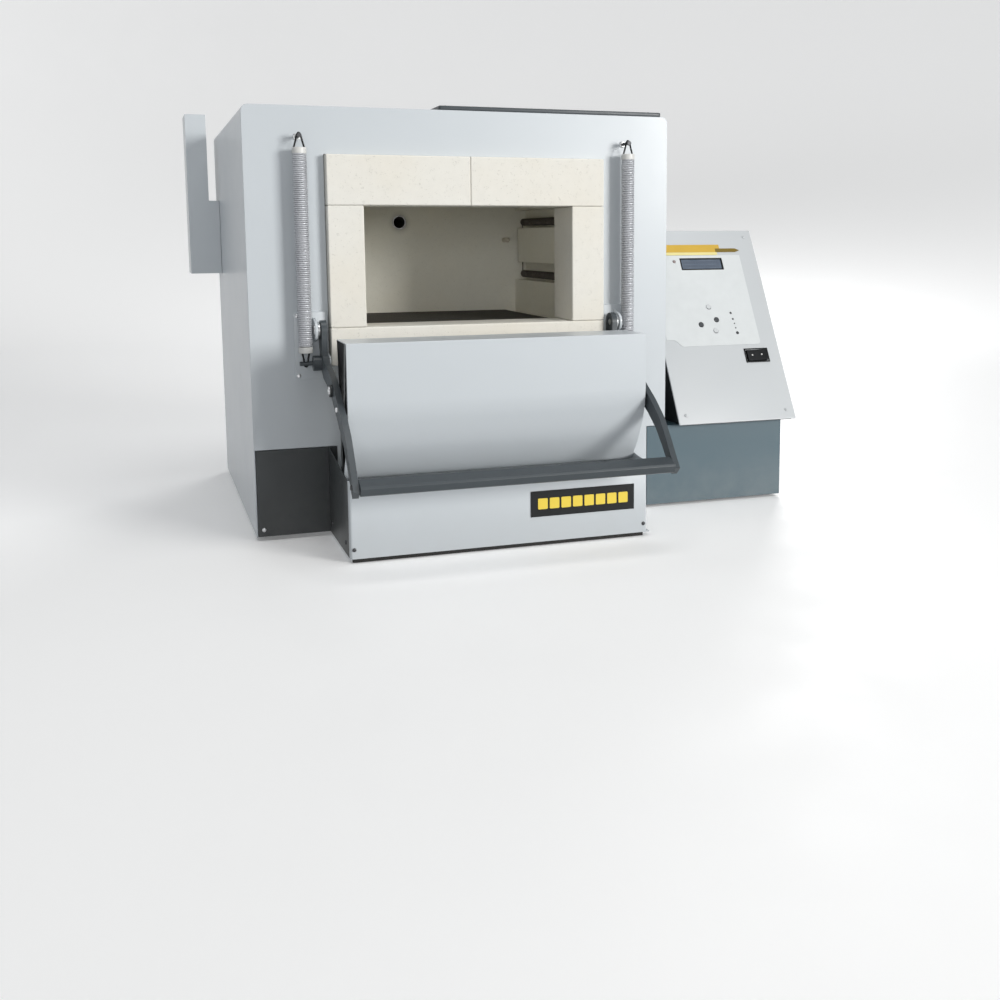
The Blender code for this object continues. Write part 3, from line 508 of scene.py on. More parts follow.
def tube(points, radius, sides=8):
    """A round wire along a line of points, with closed ends."""
    bm = bmesh.new()
    points = [Vector(point) for point in points]
    along = (points[1] - points[0]).normalized()
    sideways = along.orthogonal().normalized()
    rings = []
    for index, point in enumerate(points):
        ahead = points[min(index + 1, len(points) - 1)] - points[max(index - 1, 0)]
        turn = along.rotation_difference(ahead.normalized())
        sideways = (turn @ sideways).normalized()
        along = ahead.normalized()
        other = along.cross(sideways)
        ring = []
        for k in range(sides):
            angle = 2.0 * math.pi * k / sides
            out = sideways * math.cos(angle) + other * math.sin(angle)
            ring.append(bm.verts.new(point + out * radius))
        rings.append(ring)
    for first, second in zip(rings[:-1], rings[1:]):
        for k in range(sides):
            bm.faces.new((first[k], first[(k + 1) % sides], second[(k + 1) % sides], second[k]))
    bm.faces.new(rings[0][::-1])
    bm.faces.new(rings[-1])
    return bm


def rounded(x0, x1, y0, y1, radius, steps=5):
    """Outline of a rectangle with rounded corners."""
    outline = []
    for cx, cy, first in ((x1 - radius, y1 - radius, 0.0), (x0 + radius, y1 - radius, 90.0),
                          (x0 + radius, y0 + radius, 180.0), (x1 - radius, y0 + radius, 270.0)):
        for step in range(steps + 1):
            angle = math.radians(first + 90.0 * step / steps)
            outline.append((cx + radius * math.cos(angle), cy + radius * math.sin(angle)))
    return outline


def facing(direction, spot, up=(0.0, 0.0, 1.0)):
    """Matrix that puts a piece built along +z so that it points along a direction from a spot."""
    out = Vector(direction).normalized()
    side = Vector(up).cross(out).normalized()
    return Matrix.Translation(spot) @ Matrix((side, out.cross(side), out)).transposed().to_4x4()


ALONG_X = Matrix(((0.0, 0.0, 1.0, 0.0), (1.0, 0.0, 0.0, 0.0), (0.0, 1.0, 0.0, 0.0), (0.0, 0.0, 0.0, 1.0)))
TO_ROW = Matrix.Translation(ORIGIN)


def across(outline, start, end):
    """Extrude a (y, z) outline across the kiln, from one x to another."""
    return slab(outline, min(start, end), max(start, end), TO_ROW @ ALONG_X)


def outward(outline, start, end):
    """Extrude an (x, z) outline forwards, from y = -start to y = -end."""
    return slab(outline, start, end, TO_ROW @ Matrix.Rotation(math.radians(90.0), 4, "X"))


def spindle(x, y, z, direction, profile):
    """A turned piece that points along a direction from a spot in working coordinates."""
    return turned(profile, facing(direction, at(x, y, z)))


def arc(centre, radius, first, last, steps):
    """Points along an arc, with both angles in degrees."""
    points = []
    for step in range(steps + 1):
        angle = math.radians(first + (last - first) * step / steps)
        points.append((centre[0] + radius * math.cos(angle), centre[1] + radius * math.sin(angle)))
    return points


FORWARD = (0.0, -1.0, 0.0)
BACKWARD = (0.0, 1.0, 0.0)
SCREW_HEAD = ((-0.0004, 0.0034), (0.0006, 0.0034), (0.0014, 0.0029), (0.0019, 0.0019), (0.0020, 0.0009),
              (0.0012, 0.0008))


def pan_screws(name, spots, direction, material, body, scale=1.0):
    """Domed screw heads at several spots, all pointing the same way."""
    up = (0.0, 0.0, 1.0) if abs(direction[2]) < 0.9 else (0.0, 1.0, 0.0)
    heads = []
    for spot in spots:
        profile = [(height * scale, radius * scale) for height, radius in SCREW_HEAD]
        heads.append(turned(profile, facing(direction, spot, up), 20))
    return piece(name, joined(heads), material, body)


# ------------ springs

HOOK = {side: Vector(JOINTS[side + "_spring_lean"]["pos_m"]) for side, _ in SIDES}
PIN_DROP = 0.308        # hook to lower pin, door open
COIL_RADIUS = 0.0086
COIL_WIRE = 0.00125
COIL_PITCH = 0.00262
COIL_SPAN = (-0.0240, -0.2850)
CAP_HEIGHT = 0.0085
HOOK_WIRE = 0.0013
CAP = ((0.0, 0.0060), (0.0, 0.0088), (0.0008, 0.0097), (CAP_HEIGHT - 0.0008, 0.0097), (CAP_HEIGHT, 0.0088),
       (CAP_HEIGHT, 0.0060))


def coil_line(hook):
    """A close-wound coil between the two end caps."""
    points = []
    turns = int((COIL_SPAN[0] - COIL_SPAN[1]) / COIL_PITCH)
    for k in range(turns * 16 + 1):
        angle = math.pi + 2.0 * math.pi * k / 16.0
        level = COIL_SPAN[0] + (COIL_SPAN[1] - COIL_SPAN[0]) * k / (turns * 16)
        points.append(hook + Vector((COIL_RADIUS * math.cos(angle), COIL_RADIUS * math.sin(angle), level)))
    return points


def eye_line(centre, foot, reach, spread):
    """A pointed wire eye that rises from two feet in a cap and bends round a pin."""
    flank = (spread, 0.88 * spread, 0.62 * spread, 0.0026)
    rise = (foot, foot + 0.12 * (reach - foot), foot + 0.45 * (reach - foot), foot + 0.85 * (reach - foot))
    points = [centre + Vector((across_by, 0.0, level)) for across_by, level in zip(flank, rise)]
    points.append(centre + Vector((0.0012, 0.0, foot + 0.97 * (reach - foot))))
    points.append(centre + Vector((0.0, 0.0, reach)))
    points += [centre + Vector((-(point - centre).x, 0.0, (point - centre).z)) for point in points[-2::-1]]
    return points


PEG = ((-0.0003, 0.0023), (0.0225, 0.0023), (0.0232, 0.0034), (0.0246, 0.0034), (0.0252, 0.0026))
PEG_WASHER = ((-0.0003, 0.0050), (0.0010, 0.0050), (0.0014, 0.0044), (0.0014, 0.0028))
UPPER_EYE_REACH = 0.0026 + HOOK_WIRE
UPPER_EYE_SPREAD = 0.0074
LOWER_EYE_REACH = -0.0031 - HOOK_WIRE
LOWER_EYE_SPREAD = 0.0050
EYE_SINK = 0.001


def spring(label, hook):
    """Coil, end caps and wire eyes of one spring, which lean with the door."""
    body = label + " spring"
    coil = piece("spring_coil_" + label, tube(coil_line(hook), COIL_WIRE, 7), "spring_steel", body)
    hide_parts("spring_" + label)
    heights = (COIL_SPAN[0], COIL_SPAN[1] - CAP_HEIGHT)
    rings = [turned(CAP, Matrix.Translation(hook + Vector((0.0, 0.0, height)))) for height in heights]
    caps = piece("spring_caps_" + label, joined(rings), "cap_white", body)
    pin = hook + Vector((0.0, 0.0, -PIN_DROP))
    upper_foot = COIL_SPAN[0] + CAP_HEIGHT - EYE_SINK
    lower_foot = PIN_DROP + COIL_SPAN[1] - CAP_HEIGHT + EYE_SINK
    wires = [tube(eye_line(hook, upper_foot, UPPER_EYE_REACH, UPPER_EYE_SPREAD), HOOK_WIRE, 8),
             tube(eye_line(pin, lower_foot, LOWER_EYE_REACH, LOWER_EYE_SPREAD), HOOK_WIRE, 8)]
    eyes = piece("spring_eyes_" + label, joined(wires), "black", body)
    for obj in (coil, caps, eyes):
        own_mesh(obj)


def spring_peg(label, hook):
    """The headed peg that a spring hangs from, with its washer."""
    place = facing(FORWARD, Vector((hook.x, ORIGIN.y, hook.z)))
    peg = piece("spring_peg_" + label, turned(PEG, place, 20), "dark_steel", "kiln")
    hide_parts("spring_hook_" + label)
    piece("spring_peg_washer_" + label, turned(PEG_WASHER, place, 24), "zinc", "kiln")


# ------------ pivots

PIVOT = JOINTS["bail_swing"]["pos_m"][1] - ORIGIN.y, JOINTS["bail_swing"]["pos_m"][2]
GUIDE = JOINTS["left_guide_swing"]["pos_m"][1] - ORIGIN.y, JOINTS["left_guide_swing"]["pos_m"][2]
DOOR_PIVOT = JOINTS["door_level"]["pos_m"][1] - ORIGIN.y, JOINTS["door_level"]["pos_m"][2]
EAR_BACK = -0.0030
ARM_EAR = (0.0130, 0.0170)      # reach about the pivot, half width at the wall plate
GUIDE_EAR = (0.0095, 0.0130)
ARM_EAR_SPAN = (0.2235, 0.2275)
GUIDE_EAR_OUTER = 0.2085
BOSS_START = 0.2196
ARM_PIN_START = 0.2112
GUIDE_PIN_START = 0.2076
DOOR_STUD_START = 0.2227
BOSS = ((0.0, 0.0085), (0.0008, 0.0100), (0.0030, 0.0100))
PIVOT_CAP = ((0.0, 0.0090), (0.0010, 0.0090), (0.0018, 0.0078), (0.0021, 0.0055), (0.0016, 0.0046),
             (0.0016, 0.0))
ARM_PIN = ((0.0, 0.0034), (0.0006, 0.0048), (0.0120, 0.0048))
GUIDE_PIN = ((0.0, 0.0039), (0.0030, 0.0039), (0.0036, 0.0030))
DOOR_STUD = ((0.0, 0.0062), (0.0010, 0.0062), (0.0018, 0.0050), (0.0020, 0.0026), (0.0012, 0.0022))


def ear_outline(pivot, reach, foot):
    """A lug from the wall plate that is round about its pivot."""
    return [(EAR_BACK, pivot[1] + foot)] + arc(pivot, reach, 100.0, 260.0, 16) + [(EAR_BACK, pivot[1] - foot)]


def pivot_bracket(label, side):
    """Painted wall plate with two ears, the outer one for the arm and the inner one for the guide link."""
    low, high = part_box("pivot_bracket_" + label)
    inner, outer = sorted(abs(x - ORIGIN.x) for x in (low.x, high.x))
    x0, x1 = sorted((side * inner, side * outer))
    sheet = outward(rounded(x0, x1, low.z, high.z, 0.005), 0.0003, 0.0033)
    plate = piece("bracket_plate_" + label, sheet, "light_paint", "kiln", 0.0007)
    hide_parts("pivot_bracket_" + label)
    ears = [across(ear_outline(PIVOT, *ARM_EAR), side * ARM_EAR_SPAN[0], side * ARM_EAR_SPAN[1]),
            across(ear_outline(GUIDE, *GUIDE_EAR), side * (inner + 0.0002), side * GUIDE_EAR_OUTER)]
    piece("bracket_ears_" + label, joined(ears), "light_paint", "kiln", 0.0006)


def pivot_pins(label, side):
    """Plated bosses and pins that the arm, the guide link and the door turn on."""
    out = (side, 0.0, 0.0)
    bosses = [spindle(side * BOSS_START, *PIVOT, out, BOSS),
              spindle(side * ARM_EAR_SPAN[1], *PIVOT, out, PIVOT_CAP)]
    piece("pivot_boss_" + label, joined(bosses), "zinc", "kiln")
    pins = [spindle(side * ARM_PIN_START, *PIVOT, out, ARM_PIN),
            spindle(side * GUIDE_PIN_START, *GUIDE, out, GUIDE_PIN)]
    piece("pivot_pins_" + label, joined(pins), "zinc", "kiln")
    stud = spindle(side * DOOR_STUD_START, *DOOR_PIVOT, out, DOOR_STUD)
    piece("door_stud_cap_" + label, stud, "zinc", "door")


# ------------ rear panel, lid and lower cover

REAR_CORNER = 0.009
GLAND_HOLE = 0.0083
VENT_ROWS = 5
VENT_FOOT = 0.150
VENT_PITCH = 0.018
VENT_HEIGHT = 0.006
VENT_HALF = 0.100


def rear_panel():
    """Back sheet with round-ended cooling slots and a hole for the cable gland."""
    low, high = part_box("rear_panel")
    x0, x1 = low.x - ORIGIN.x, high.x - ORIGIN.x
    shoulder = high.z - REAR_CORNER
    outline = [(x0, low.z), (x1, low.z)] + arc((x1 - REAR_CORNER, shoulder), REAR_CORNER, 0.0, 90.0, 6)
    outline += arc((x0 + REAR_CORNER, shoulder), REAR_CORNER, 90.0, 180.0, 6)
    depth_low, depth_high = ORIGIN.y - high.y, ORIGIN.y - low.y
    sheet = piece("rear_sheet", outward(outline, depth_low, depth_high), "light_paint", "kiln", 0.0006)
    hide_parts("rear_panel")
    for row in range(VENT_ROWS):
        foot = VENT_FOOT + VENT_PITCH * row
        slot = rounded(-VENT_HALF, VENT_HALF, foot, foot + VENT_HEIGHT, 0.0029)
        cut_through(sheet, outward(slot, depth_low - 0.01, depth_high + 0.01), "vent_%d" % row)
    gland = middle("cable_gland")
    place = facing(BACKWARD, Vector((gland.x, high.y, gland.z)))
    hole = turned(((-0.01, GLAND_HOLE), (0.01, GLAND_HOLE)), place)
    cut_through(sheet, hole, "gland_hole")


LID_RISE = 0.0062
LID_OVERHANG = 0.004
LID_SCREW_INSET = 0.012


def top_cover():
    """Dark access lid with softened edges, standing a little above the casing."""
    low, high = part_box("top_access_cover")
    outline = rounded(low.x - ORIGIN.x, high.x - ORIGIN.x + LID_OVERHANG, low.y - ORIGIN.y, high.y - ORIGIN.y,
                      0.004)
    lid = piece("access_lid", slab(outline, low.z, low.z + LID_RISE, TO_ROW), "anthracite", "kiln", 0.0014)
    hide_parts("top_access_cover")
    spots = [Vector((x, y, low.z + LID_RISE)) for x in (low.x + LID_SCREW_INSET, high.x - LID_SCREW_INSET)
             for y in (low.y + LID_SCREW_INSET, 0.5 * (low.y + high.y), high.y - LID_SCREW_INSET)]
    pan_screws("lid_screws", spots, (0.0, 0.0, 1.0), "zinc", "kiln", 0.7)


COVER_SHEET = 0.0015
COVER_DROP = 0.0185
FOLD_RADIUS = 0.0040
FOLD_REACH = 0.0075
CHEEK_START = 0.0078


def cover_front(low, half, front, face_top):
    """Front sheet with its two ends folded back, seen from above as a thin U."""
    inner = FOLD_RADIUS - COVER_SHEET
    left_fold = (-half + FOLD_RADIUS, front + FOLD_RADIUS)
    right_fold = (half - FOLD_RADIUS, front + FOLD_RADIUS)
    plan = arc(left_fold, FOLD_RADIUS, 180.0, 270.0, 6) + arc(right_fold, FOLD_RADIUS, 270.0, 360.0, 6)
    plan += [(half, front + FOLD_REACH), (half - COVER_SHEET, front + FOLD_REACH)]
    plan += arc(right_fold, inner, 360.0, 270.0, 3) + arc(left_fold, inner, 270.0, 180.0, 3)
    plan += [(-half + COVER_SHEET, front + FOLD_REACH), (-half, front + FOLD_REACH)]
    face = piece("lower_cover_front", slab(plan, low.z, face_top, TO_ROW), "light_paint", "kiln", 0.0003)
    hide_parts("lower_cover")


def cover_floor(low, half, front, back):
    """Floor of the tray, with a small foot turned out at the right, and a black strip beneath it as painted
    shadow.
    """
    edge = half - 0.002
    plan = [(-edge, front + 0.002), (edge, front + 0.002), (edge, back), (-edge, back)]
    floor = slab(plan, low.z, low.z + COVER_SHEET, TO_ROW)
    foot = rounded(half - 0.0060, half + 0.0055, front + 0.0016, front + 0.0150, 0.0016)
    lip = slab(foot, low.z - 0.0008, low.z + 0.0006, TO_ROW)
    tray = piece("lower_cover_floor", joined([floor, lip]), "light_paint", "kiln", 0.0002)
    # painted shadow: a black rubber strip under the cover's front stands in for the shadow gap beneath it
    strip = rounded(-half + 0.004, half - 0.004, front + 0.0035, front + 0.0110, 0.002)
    piece("lower_cover_painted_shadow_strip", slab(strip, 0.0004, low.z - 0.0004, TO_ROW), "rubber", "kiln", 0.0004)


def lower_cover():
    """Open tray below the door: light front and floor, a light right cheek, and a left cheek painted dark as
    painted shade.
    """
    low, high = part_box("lower_cover")
    half = 0.5 * (high.x - low.x)
    front, back = low.y - ORIGIN.y, high.y - ORIGIN.y
    face_top = high.z - COVER_DROP
    cover_front(low, half, front, face_top)
    cover_floor(low, half, front, back)
    shape = [(front + CHEEK_START, low.z), (back, low.z), (back, high.z), (front + 0.020, face_top),
             (front + CHEEK_START, face_top)]
    for label, side in SIDES:
        sheet = across(shape, side * (half - COVER_SHEET), side * half)
        # painted shade: the left cheek gets dark paint where it stands in shadow, the right cheek the light
        # paint
        material = "dark_paint_and_painted_shade" if side < 0 else "light_paint"
        cheek = piece("lower_cover_cheek_" + label, sheet, material, "kiln", 0.0003)


# ------------ heating coils

ELEMENT_RADIUS = 0.0054
ELEMENT_WIRE = 0.0009
ELEMENT_BACK = 0.300
ELEMENT_TURNS = 46
TURN_STEPS = 12


def element_run(x, start, end, level):
    """Wire wound round one ceramic tube from front to back, ending in a straight stub."""
    run = []
    steps = ELEMENT_TURNS * TURN_STEPS
    for k in range(steps + 1):
        angle = 2.0 * math.pi * k / TURN_STEPS
        run.append(Vector((x + ELEMENT_RADIUS * math.sin(angle), start + (end - start) * k / steps,
                           level + ELEMENT_RADIUS * math.cos(angle))))
    run.append(Vector((x, end + 0.006, level + ELEMENT_RADIUS)))
    return run


def heating_coils():
    """Heating wire on the ceramic tubes, joined behind by one riser a side."""
    for label, _ in SIDES:
        lower, upper = [middle("support_tube_%s_%s" % (label, level)) for level in ("lower", "upper")]
        start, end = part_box("heating_coil_" + label)[0].y + 0.001, ORIGIN.y + ELEMENT_BACK
        points = element_run(lower.x, start, end, lower.z)
        points += element_run(lower.x, start, end, upper.z)[::-1]
        coil = piece("heating_element_" + label, tube(points, ELEMENT_WIRE, 6), "element", "kiln")
        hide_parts("heating_coil_" + label)


# ------------ controller

PRESS = Vector(JOINTS["key_up_press"]["axis"])
NORMAL = -PRESS
SLOPE = Vector((0.0, -NORMAL.z, NORMAL.y)) if NORMAL.y > 0 else Vector((0.0, NORMAL.z, -NORMAL.y))
FASCIA_LOW, FASCIA_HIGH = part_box("controller_fascia")
FASCIA_LEFT = FASCIA_LOW.x - ORIGIN.x
FASCIA_SHEET = 0.003
FOOT = Vector((ORIGIN.x, FASCIA_LOW.y, FASCIA_LOW.z + FASCIA_SHEET * NORMAL.z))
ON_FASCIA = Matrix.Translation(FOOT) @ Matrix((Vector((1.0, 0.0, 0.0)), SLOPE, NORMAL)).transposed().to_4x4()


def fascia_piece(name, outline, low, high, material, bevel=0.0):
    """A flat piece on the slanted sheet, outlined across and up the slope."""
    return piece(name, slab(outline, low, high, ON_FASCIA), material, "kiln", bevel)


def frame_outline(name, hole, width, low, high, material, bevel=0.0003):
    """A raised rectangular surround outside a hole, as one closed ring."""
    x0, x1, y0, y1 = hole
    bm = bmesh.new()
    loops = []
    for grow in (0.0, width):
        left, right, foot, head = x0 - grow, x1 + grow, y0 - grow, y1 + grow
        corners = ((left, foot), (right, foot), (right, head), (left, head))
        loops.append([[bm.verts.new((x, y, z)) for x, y in corners] for z in (low, high)])
    for k in range(4):
        n = (k + 1) % 4
        (inner_low, inner_high), (outer_low, outer_high) = loops
        bm.faces.new((inner_high[k], inner_high[n], outer_high[n], outer_high[k]))
        bm.faces.new((inner_low[k], outer_low[k], outer_low[n], inner_low[n]))
        bm.faces.new((inner_low[k], inner_low[n], inner_high[n], inner_high[k]))
        bm.faces.new((outer_low[k], outer_high[k], outer_high[n], outer_low[n]))
    bmesh.ops.transform(bm, matrix=ON_FASCIA, verts=bm.verts)
    return piece(name, bm, material, "kiln", bevel)


KEYS = ("key_up", "key_down", "key_left", "key_right")
DISPLAY_SURROUND = (0.3957, 0.4688, 0.2712, 0.2888)
SWITCH_SURROUND = (0.4740, 0.5130, 0.1015, 0.1225)
DISPLAY_OPENING = (0.2705, 0.2895)
SWITCH_OPENING = (0.1020, 0.1220)
FILM_WINDOW = (0.3935, 0.4715, 0.269, 0.291)
FILM_RIGHT, FILM_FOOT, FILM_HEAD = 0.506, 0.1320, 0.2960
FILM_CORNER = 0.006
SHEET_CUT = (-0.01, 0.01)
FILM_CUT = (-0.002, 0.004)


def on_slope(point):
    """Where a point lies on the fascia: across, and up the slope."""
    local = ON_FASCIA.inverted() @ Vector(point)
    return local.x, local.y


def round_hole(obj, name, radius, cut):
    """Cut a hole for a CAD node that sits in the slanted sheet, from one height to another."""
    x, y = on_slope(middle(name))
    profile = [(height, radius) for height in cut]
    cut_through(obj, turned(profile, ON_FASCIA @ Matrix.Translation((x, y, 0.0)), 24), name + "_opening")


def fascia_sheet():
    """The slanted sheet with rounded edges and openings for its fittings."""
    low, high = FASCIA_LOW, FASCIA_HIGH
    length = (high.z - low.z - FASCIA_SHEET * abs(NORMAL.z)) / SLOPE.z
    outline = rounded(FASCIA_LEFT, high.x - ORIGIN.x, 0.0, length, 0.0015, 3)
    sheet = fascia_piece("fascia_sheet", outline, -FASCIA_SHEET, 0.0, "fascia_paint", 0.0009)
    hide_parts("controller_fascia")
    openings = (("display_window", 0.0004, DISPLAY_OPENING), ("power_switch", 0.0010, SWITCH_OPENING))
    for name, margin, rows in openings:
        node_low, node_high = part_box(name)
        x0, x1 = node_low.x - ORIGIN.x - margin, node_high.x - ORIGIN.x + margin
        cut_through(sheet, slab(rounded(x0, x1, *rows, 0.0005, 2), *SHEET_CUT, ON_FASCIA), name + "_opening")
    round_hole(sheet, "status_lamp", 0.0029, SHEET_CUT)
    for name in KEYS:
        round_hole(sheet, name, 0.0045, SHEET_CUT)


def overlay():
    """The pale printed film with a cut lower left corner, and openings that leave the fittings clear."""
    left = FASCIA_LEFT + 0.0090
    outline = [(left, FILM_HEAD), (left, FILM_FOOT + 0.012), (left + 0.014, FILM_FOOT + 0.012),
               (left + 0.026, FILM_FOOT)]
    outline += arc((FILM_RIGHT - FILM_CORNER, FILM_FOOT + FILM_CORNER), FILM_CORNER, -90.0, 0.0, 4)
    outline += [(FILM_RIGHT, FILM_HEAD)]
    film = fascia_piece("overlay_film", outline, 0.0001, 0.0005, "film")
    cut_through(film, slab(rounded(*FILM_WINDOW, 0.0012), *FILM_CUT, ON_FASCIA), "film_window")
    for name in KEYS:
        round_hole(film, name, 0.0048, FILM_CUT)
    round_hole(film, "status_lamp", 0.0031, FILM_CUT)


def cut_through(obj, bm, label):
    """Cut a shape out of a new piece for good."""
    bmesh.ops.recalc_face_normals(bm, faces=bm.faces)
    mesh = bpy.data.meshes.new(label)
    bm.to_mesh(mesh)
    bm.free()
    cutter = bpy.data.objects.new(label, mesh)
    bpy.context.scene.collection.objects.link(cutter)
    modifier = obj.modifiers.new(label, "BOOLEAN")
    modifier.operation = "DIFFERENCE"
    modifier.solver = "EXACT"
    modifier.object = cutter
    bpy.context.view_layer.update()
    result = bpy.data.meshes.new_from_object(obj.evaluated_get(bpy.context.evaluated_depsgraph_get()))
    obj.modifiers.clear()
    obj.data = result
    bpy.data.objects.remove(cutter, do_unlink=True)


STRIPE_LEFT = FASCIA_LEFT + 0.0015
TAG = ((0.463, 0.3020), (0.500, 0.3020), (0.508, 0.3052), (0.500, 0.3086), (0.463, 0.3086))
CELL_ROWS, CELL_COLUMNS = 2, 16
CELL_FOOT = (0.3990, 0.2740)
CELL_PITCH = (0.0042, 0.0068)
CELL_SIZE = (0.0034, 0.0052)
DOTS = ((0.4640, 0.1890, 0.0020), (0.4655, 0.1780, 0.0017), (0.4665, 0.1700, 0.0012),
        (0.4670, 0.1620, 0.0012), (0.4680, 0.1530, 0.0026))
FASCIA_SCREWS = ((0.5225, 0.330), (0.5225, 0.015), (0.344, 0.015), (0.344, 0.330))
ROCKER_SPOTS = (0.4845, 0.5010)
ROCKER_LEVEL = 0.112


def stripes():
    """Plain stripes and a tag in place of the maker's heading."""
    fascia_piece("stripe_yellow", rounded(STRIPE_LEFT, 0.4715, 0.3022, 0.3160, 0.0005), 0.0001, 0.0006,
                 "yellow")
    fascia_piece("stripe_pale", rounded(STRIPE_LEFT, 0.4650, 0.2965, 0.3018, 0.0005), 0.0006, 0.0009,
                 "pale_yellow")
    fascia_piece("stripe_olive", TAG, 0.0001, 0.0008, "olive")


def display():
    """Surround of the display, and its rows of blank character cells."""
    frame_outline("display_surround", DISPLAY_SURROUND, 0.0022, -0.0002, 0.0009, "black")
    cells = []
    for row in range(CELL_ROWS):
        for column in range(CELL_COLUMNS):
            x = CELL_FOOT[0] + CELL_PITCH[0] * column
            y = CELL_FOOT[1] + CELL_PITCH[1] * row
            outline = rounded(x, x + CELL_SIZE[0], y, y + CELL_SIZE[1], 0.0003, 2)
            cells.append(slab(outline, -0.0006, -0.0005, ON_FASCIA))
    piece("display_cells", joined(cells), "ink_cells", "kiln")


def printed_dots():
    """The column of dark dots beside the keys."""
    dots = []
    for x, y, size in DOTS:
        profile = ((0.0003, size), (0.0007, size), (0.0008, size * 0.8))
        dots.append(turned(profile, ON_FASCIA @ Matrix.Translation((x, y, 0.0)), 20))
    piece("printed_dots", joined(dots), "ink", "kiln")


def rocker_top(x):
    """A spot on the tipped face of the rocker switch."""
    centre = JOINTS["power_rock"]["pos_m"][0] - ORIGIN.x
    tip = math.radians(5.0) + math.atan2(0.0022, 0.0172) * (1.0 if x > centre else -1.0)
    rise = 0.0018 + (x - centre) * math.tan(tip)
    return ON_FASCIA @ Matrix.Translation((x, ROCKER_LEVEL, rise)) @ Matrix.Rotation(-tip, 4, "Y")


def switch():
    """Surround of the rocker switch, and the pale marks that move with it."""
    frame_outline("switch_surround", SWITCH_SURROUND, 0.0018, -0.0002, 0.0016, "black", 0.0004)
    marks = [turned(((0.0, 0.0013), (0.0003, 0.0013)), rocker_top(x), 16) for x in ROCKER_SPOTS]
    piece("rocker_marks", joined(marks), "white_ink", "switch")


def controller():
    """Everything on the slanted front of the controller."""
    fascia_sheet()
    overlay()
    stripes()
    display()
    printed_dots()
    switch()
    screws = [ON_FASCIA @ Vector((x, y, 0.0)) for x, y in FASCIA_SCREWS]
    pan_screws("fascia_screws", screws, NORMAL, "fascia_paint", "kiln", 0.8)


# ------------ name plate

PLATE_BLOCKS = 8
PLATE_MARGIN = (0.0085, 0.0105)
BLOCK_GAP = 0.0015


def plate_blocks():
    """A row of equal yellow blocks along the black plate, standing in for its lettering."""
    low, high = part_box("name_plate")
    left, right = low.x + PLATE_MARGIN[0], high.x - PLATE_MARGIN[0]
    bottom, top = low.z + PLATE_MARGIN[1], high.z - PLATE_MARGIN[1]
    step = (right - left) / PLATE_BLOCKS
    place = Matrix.Translation((0.0, low.y, 0.0)) @ Matrix.Rotation(math.radians(90.0), 4, "X")
    blocks = []
    for k in range(PLATE_BLOCKS):
        x0, x1 = left + step * k + BLOCK_GAP, left + step * (k + 1) - BLOCK_GAP
        outline = rounded(x0, x1, bottom, top, 0.0014, 3)
        blocks.append(slab(outline, -0.0001, 0.0005, place))
    return piece("plate_blocks", joined(blocks), "plate_yellow", "kiln")


# ------------ fasteners

EDGE_INSET = 0.012
REAR_SCREW_STEP = 0.15
REAR_SCREW_LEVELS = (0.20, 0.40)
ARM_FACE = 0.2192
ARM_SCREW = (-0.1420, 0.2010)
BAR_SCREW = (-0.2400, 0.1180)
BRACKET_SCREW_X = 0.2480
BRACKET_SCREW_LEVELS = (0.2315, 0.3145)
FRONT_SCREW = (0.2050, 0.0185)
BASE_SCREW_X = (-0.3030, -0.2040)


def rear_screws():
    """Screws along the edges of the rear panel."""
    low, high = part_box("rear_panel")
    left, right = low.x + EDGE_INSET, high.x - EDGE_INSET
    spots = []
    for x in (left, low.x + REAR_SCREW_STEP, 0.5 * (low.x + high.x), high.x - REAR_SCREW_STEP, right):
        spots += [Vector((x, high.y, low.z + EDGE_INSET)), Vector((x, high.y, high.z - EDGE_INSET))]
    for z in REAR_SCREW_LEVELS:
        spots += [Vector((left, high.y, z)), Vector((right, high.y, z))]
    pan_screws("rear_screws", spots, BACKWARD, "zinc", "kiln")


def cover_screws(label, side):
    """Screws in the side and the front of the lower cover."""
    low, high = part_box("lower_cover")
    edge = high.x if side > 0 else low.x
    spots = [Vector((edge, low.y + 0.030, 0.022)), Vector((edge, high.y - 0.020, 0.022))]
    pan_screws("lower_cover_screws_" + label, spots, (side, 0.0, 0.0), "dark_steel", "kiln", 0.9)
    spots = [at(side * FRONT_SCREW[0], low.y - ORIGIN.y, FRONT_SCREW[1])]
    pan_screws("front_screw_" + label, spots, FORWARD, "dark_steel", "kiln", 0.8)


def mechanism_screws(label, side):
    """Screws in the bracket's wall plate, the swing arm and the handle bar's end."""
    out = (side, 0.0, 0.0)
    spots = [at(side * BRACKET_SCREW_X, -0.0033, z) for z in BRACKET_SCREW_LEVELS]
    pan_screws("bracket_screws_" + label, spots, FORWARD, "zinc", "kiln", 0.9)
    pan_screws("arm_screws_" + label, [at(side * ARM_FACE, *ARM_SCREW)], out, "zinc", "bail", 1.1)
    pan_screws("bar_screws_" + label, [at(side * ARM_FACE, *BAR_SCREW)], out, "dark_steel", "bail", 1.1)


def fasteners():
    """All screws apart from those of the lid and the controller."""
    rear_screws()
    for label, side in SIDES:
        cover_screws(label, side)
        mechanism_screws(label, side)
    pan_screws("base_screws", [at(x, 0.0, 0.016) for x in BASE_SCREW_X], FORWARD, "zinc", "kiln", 0.9)


# ------------ studio

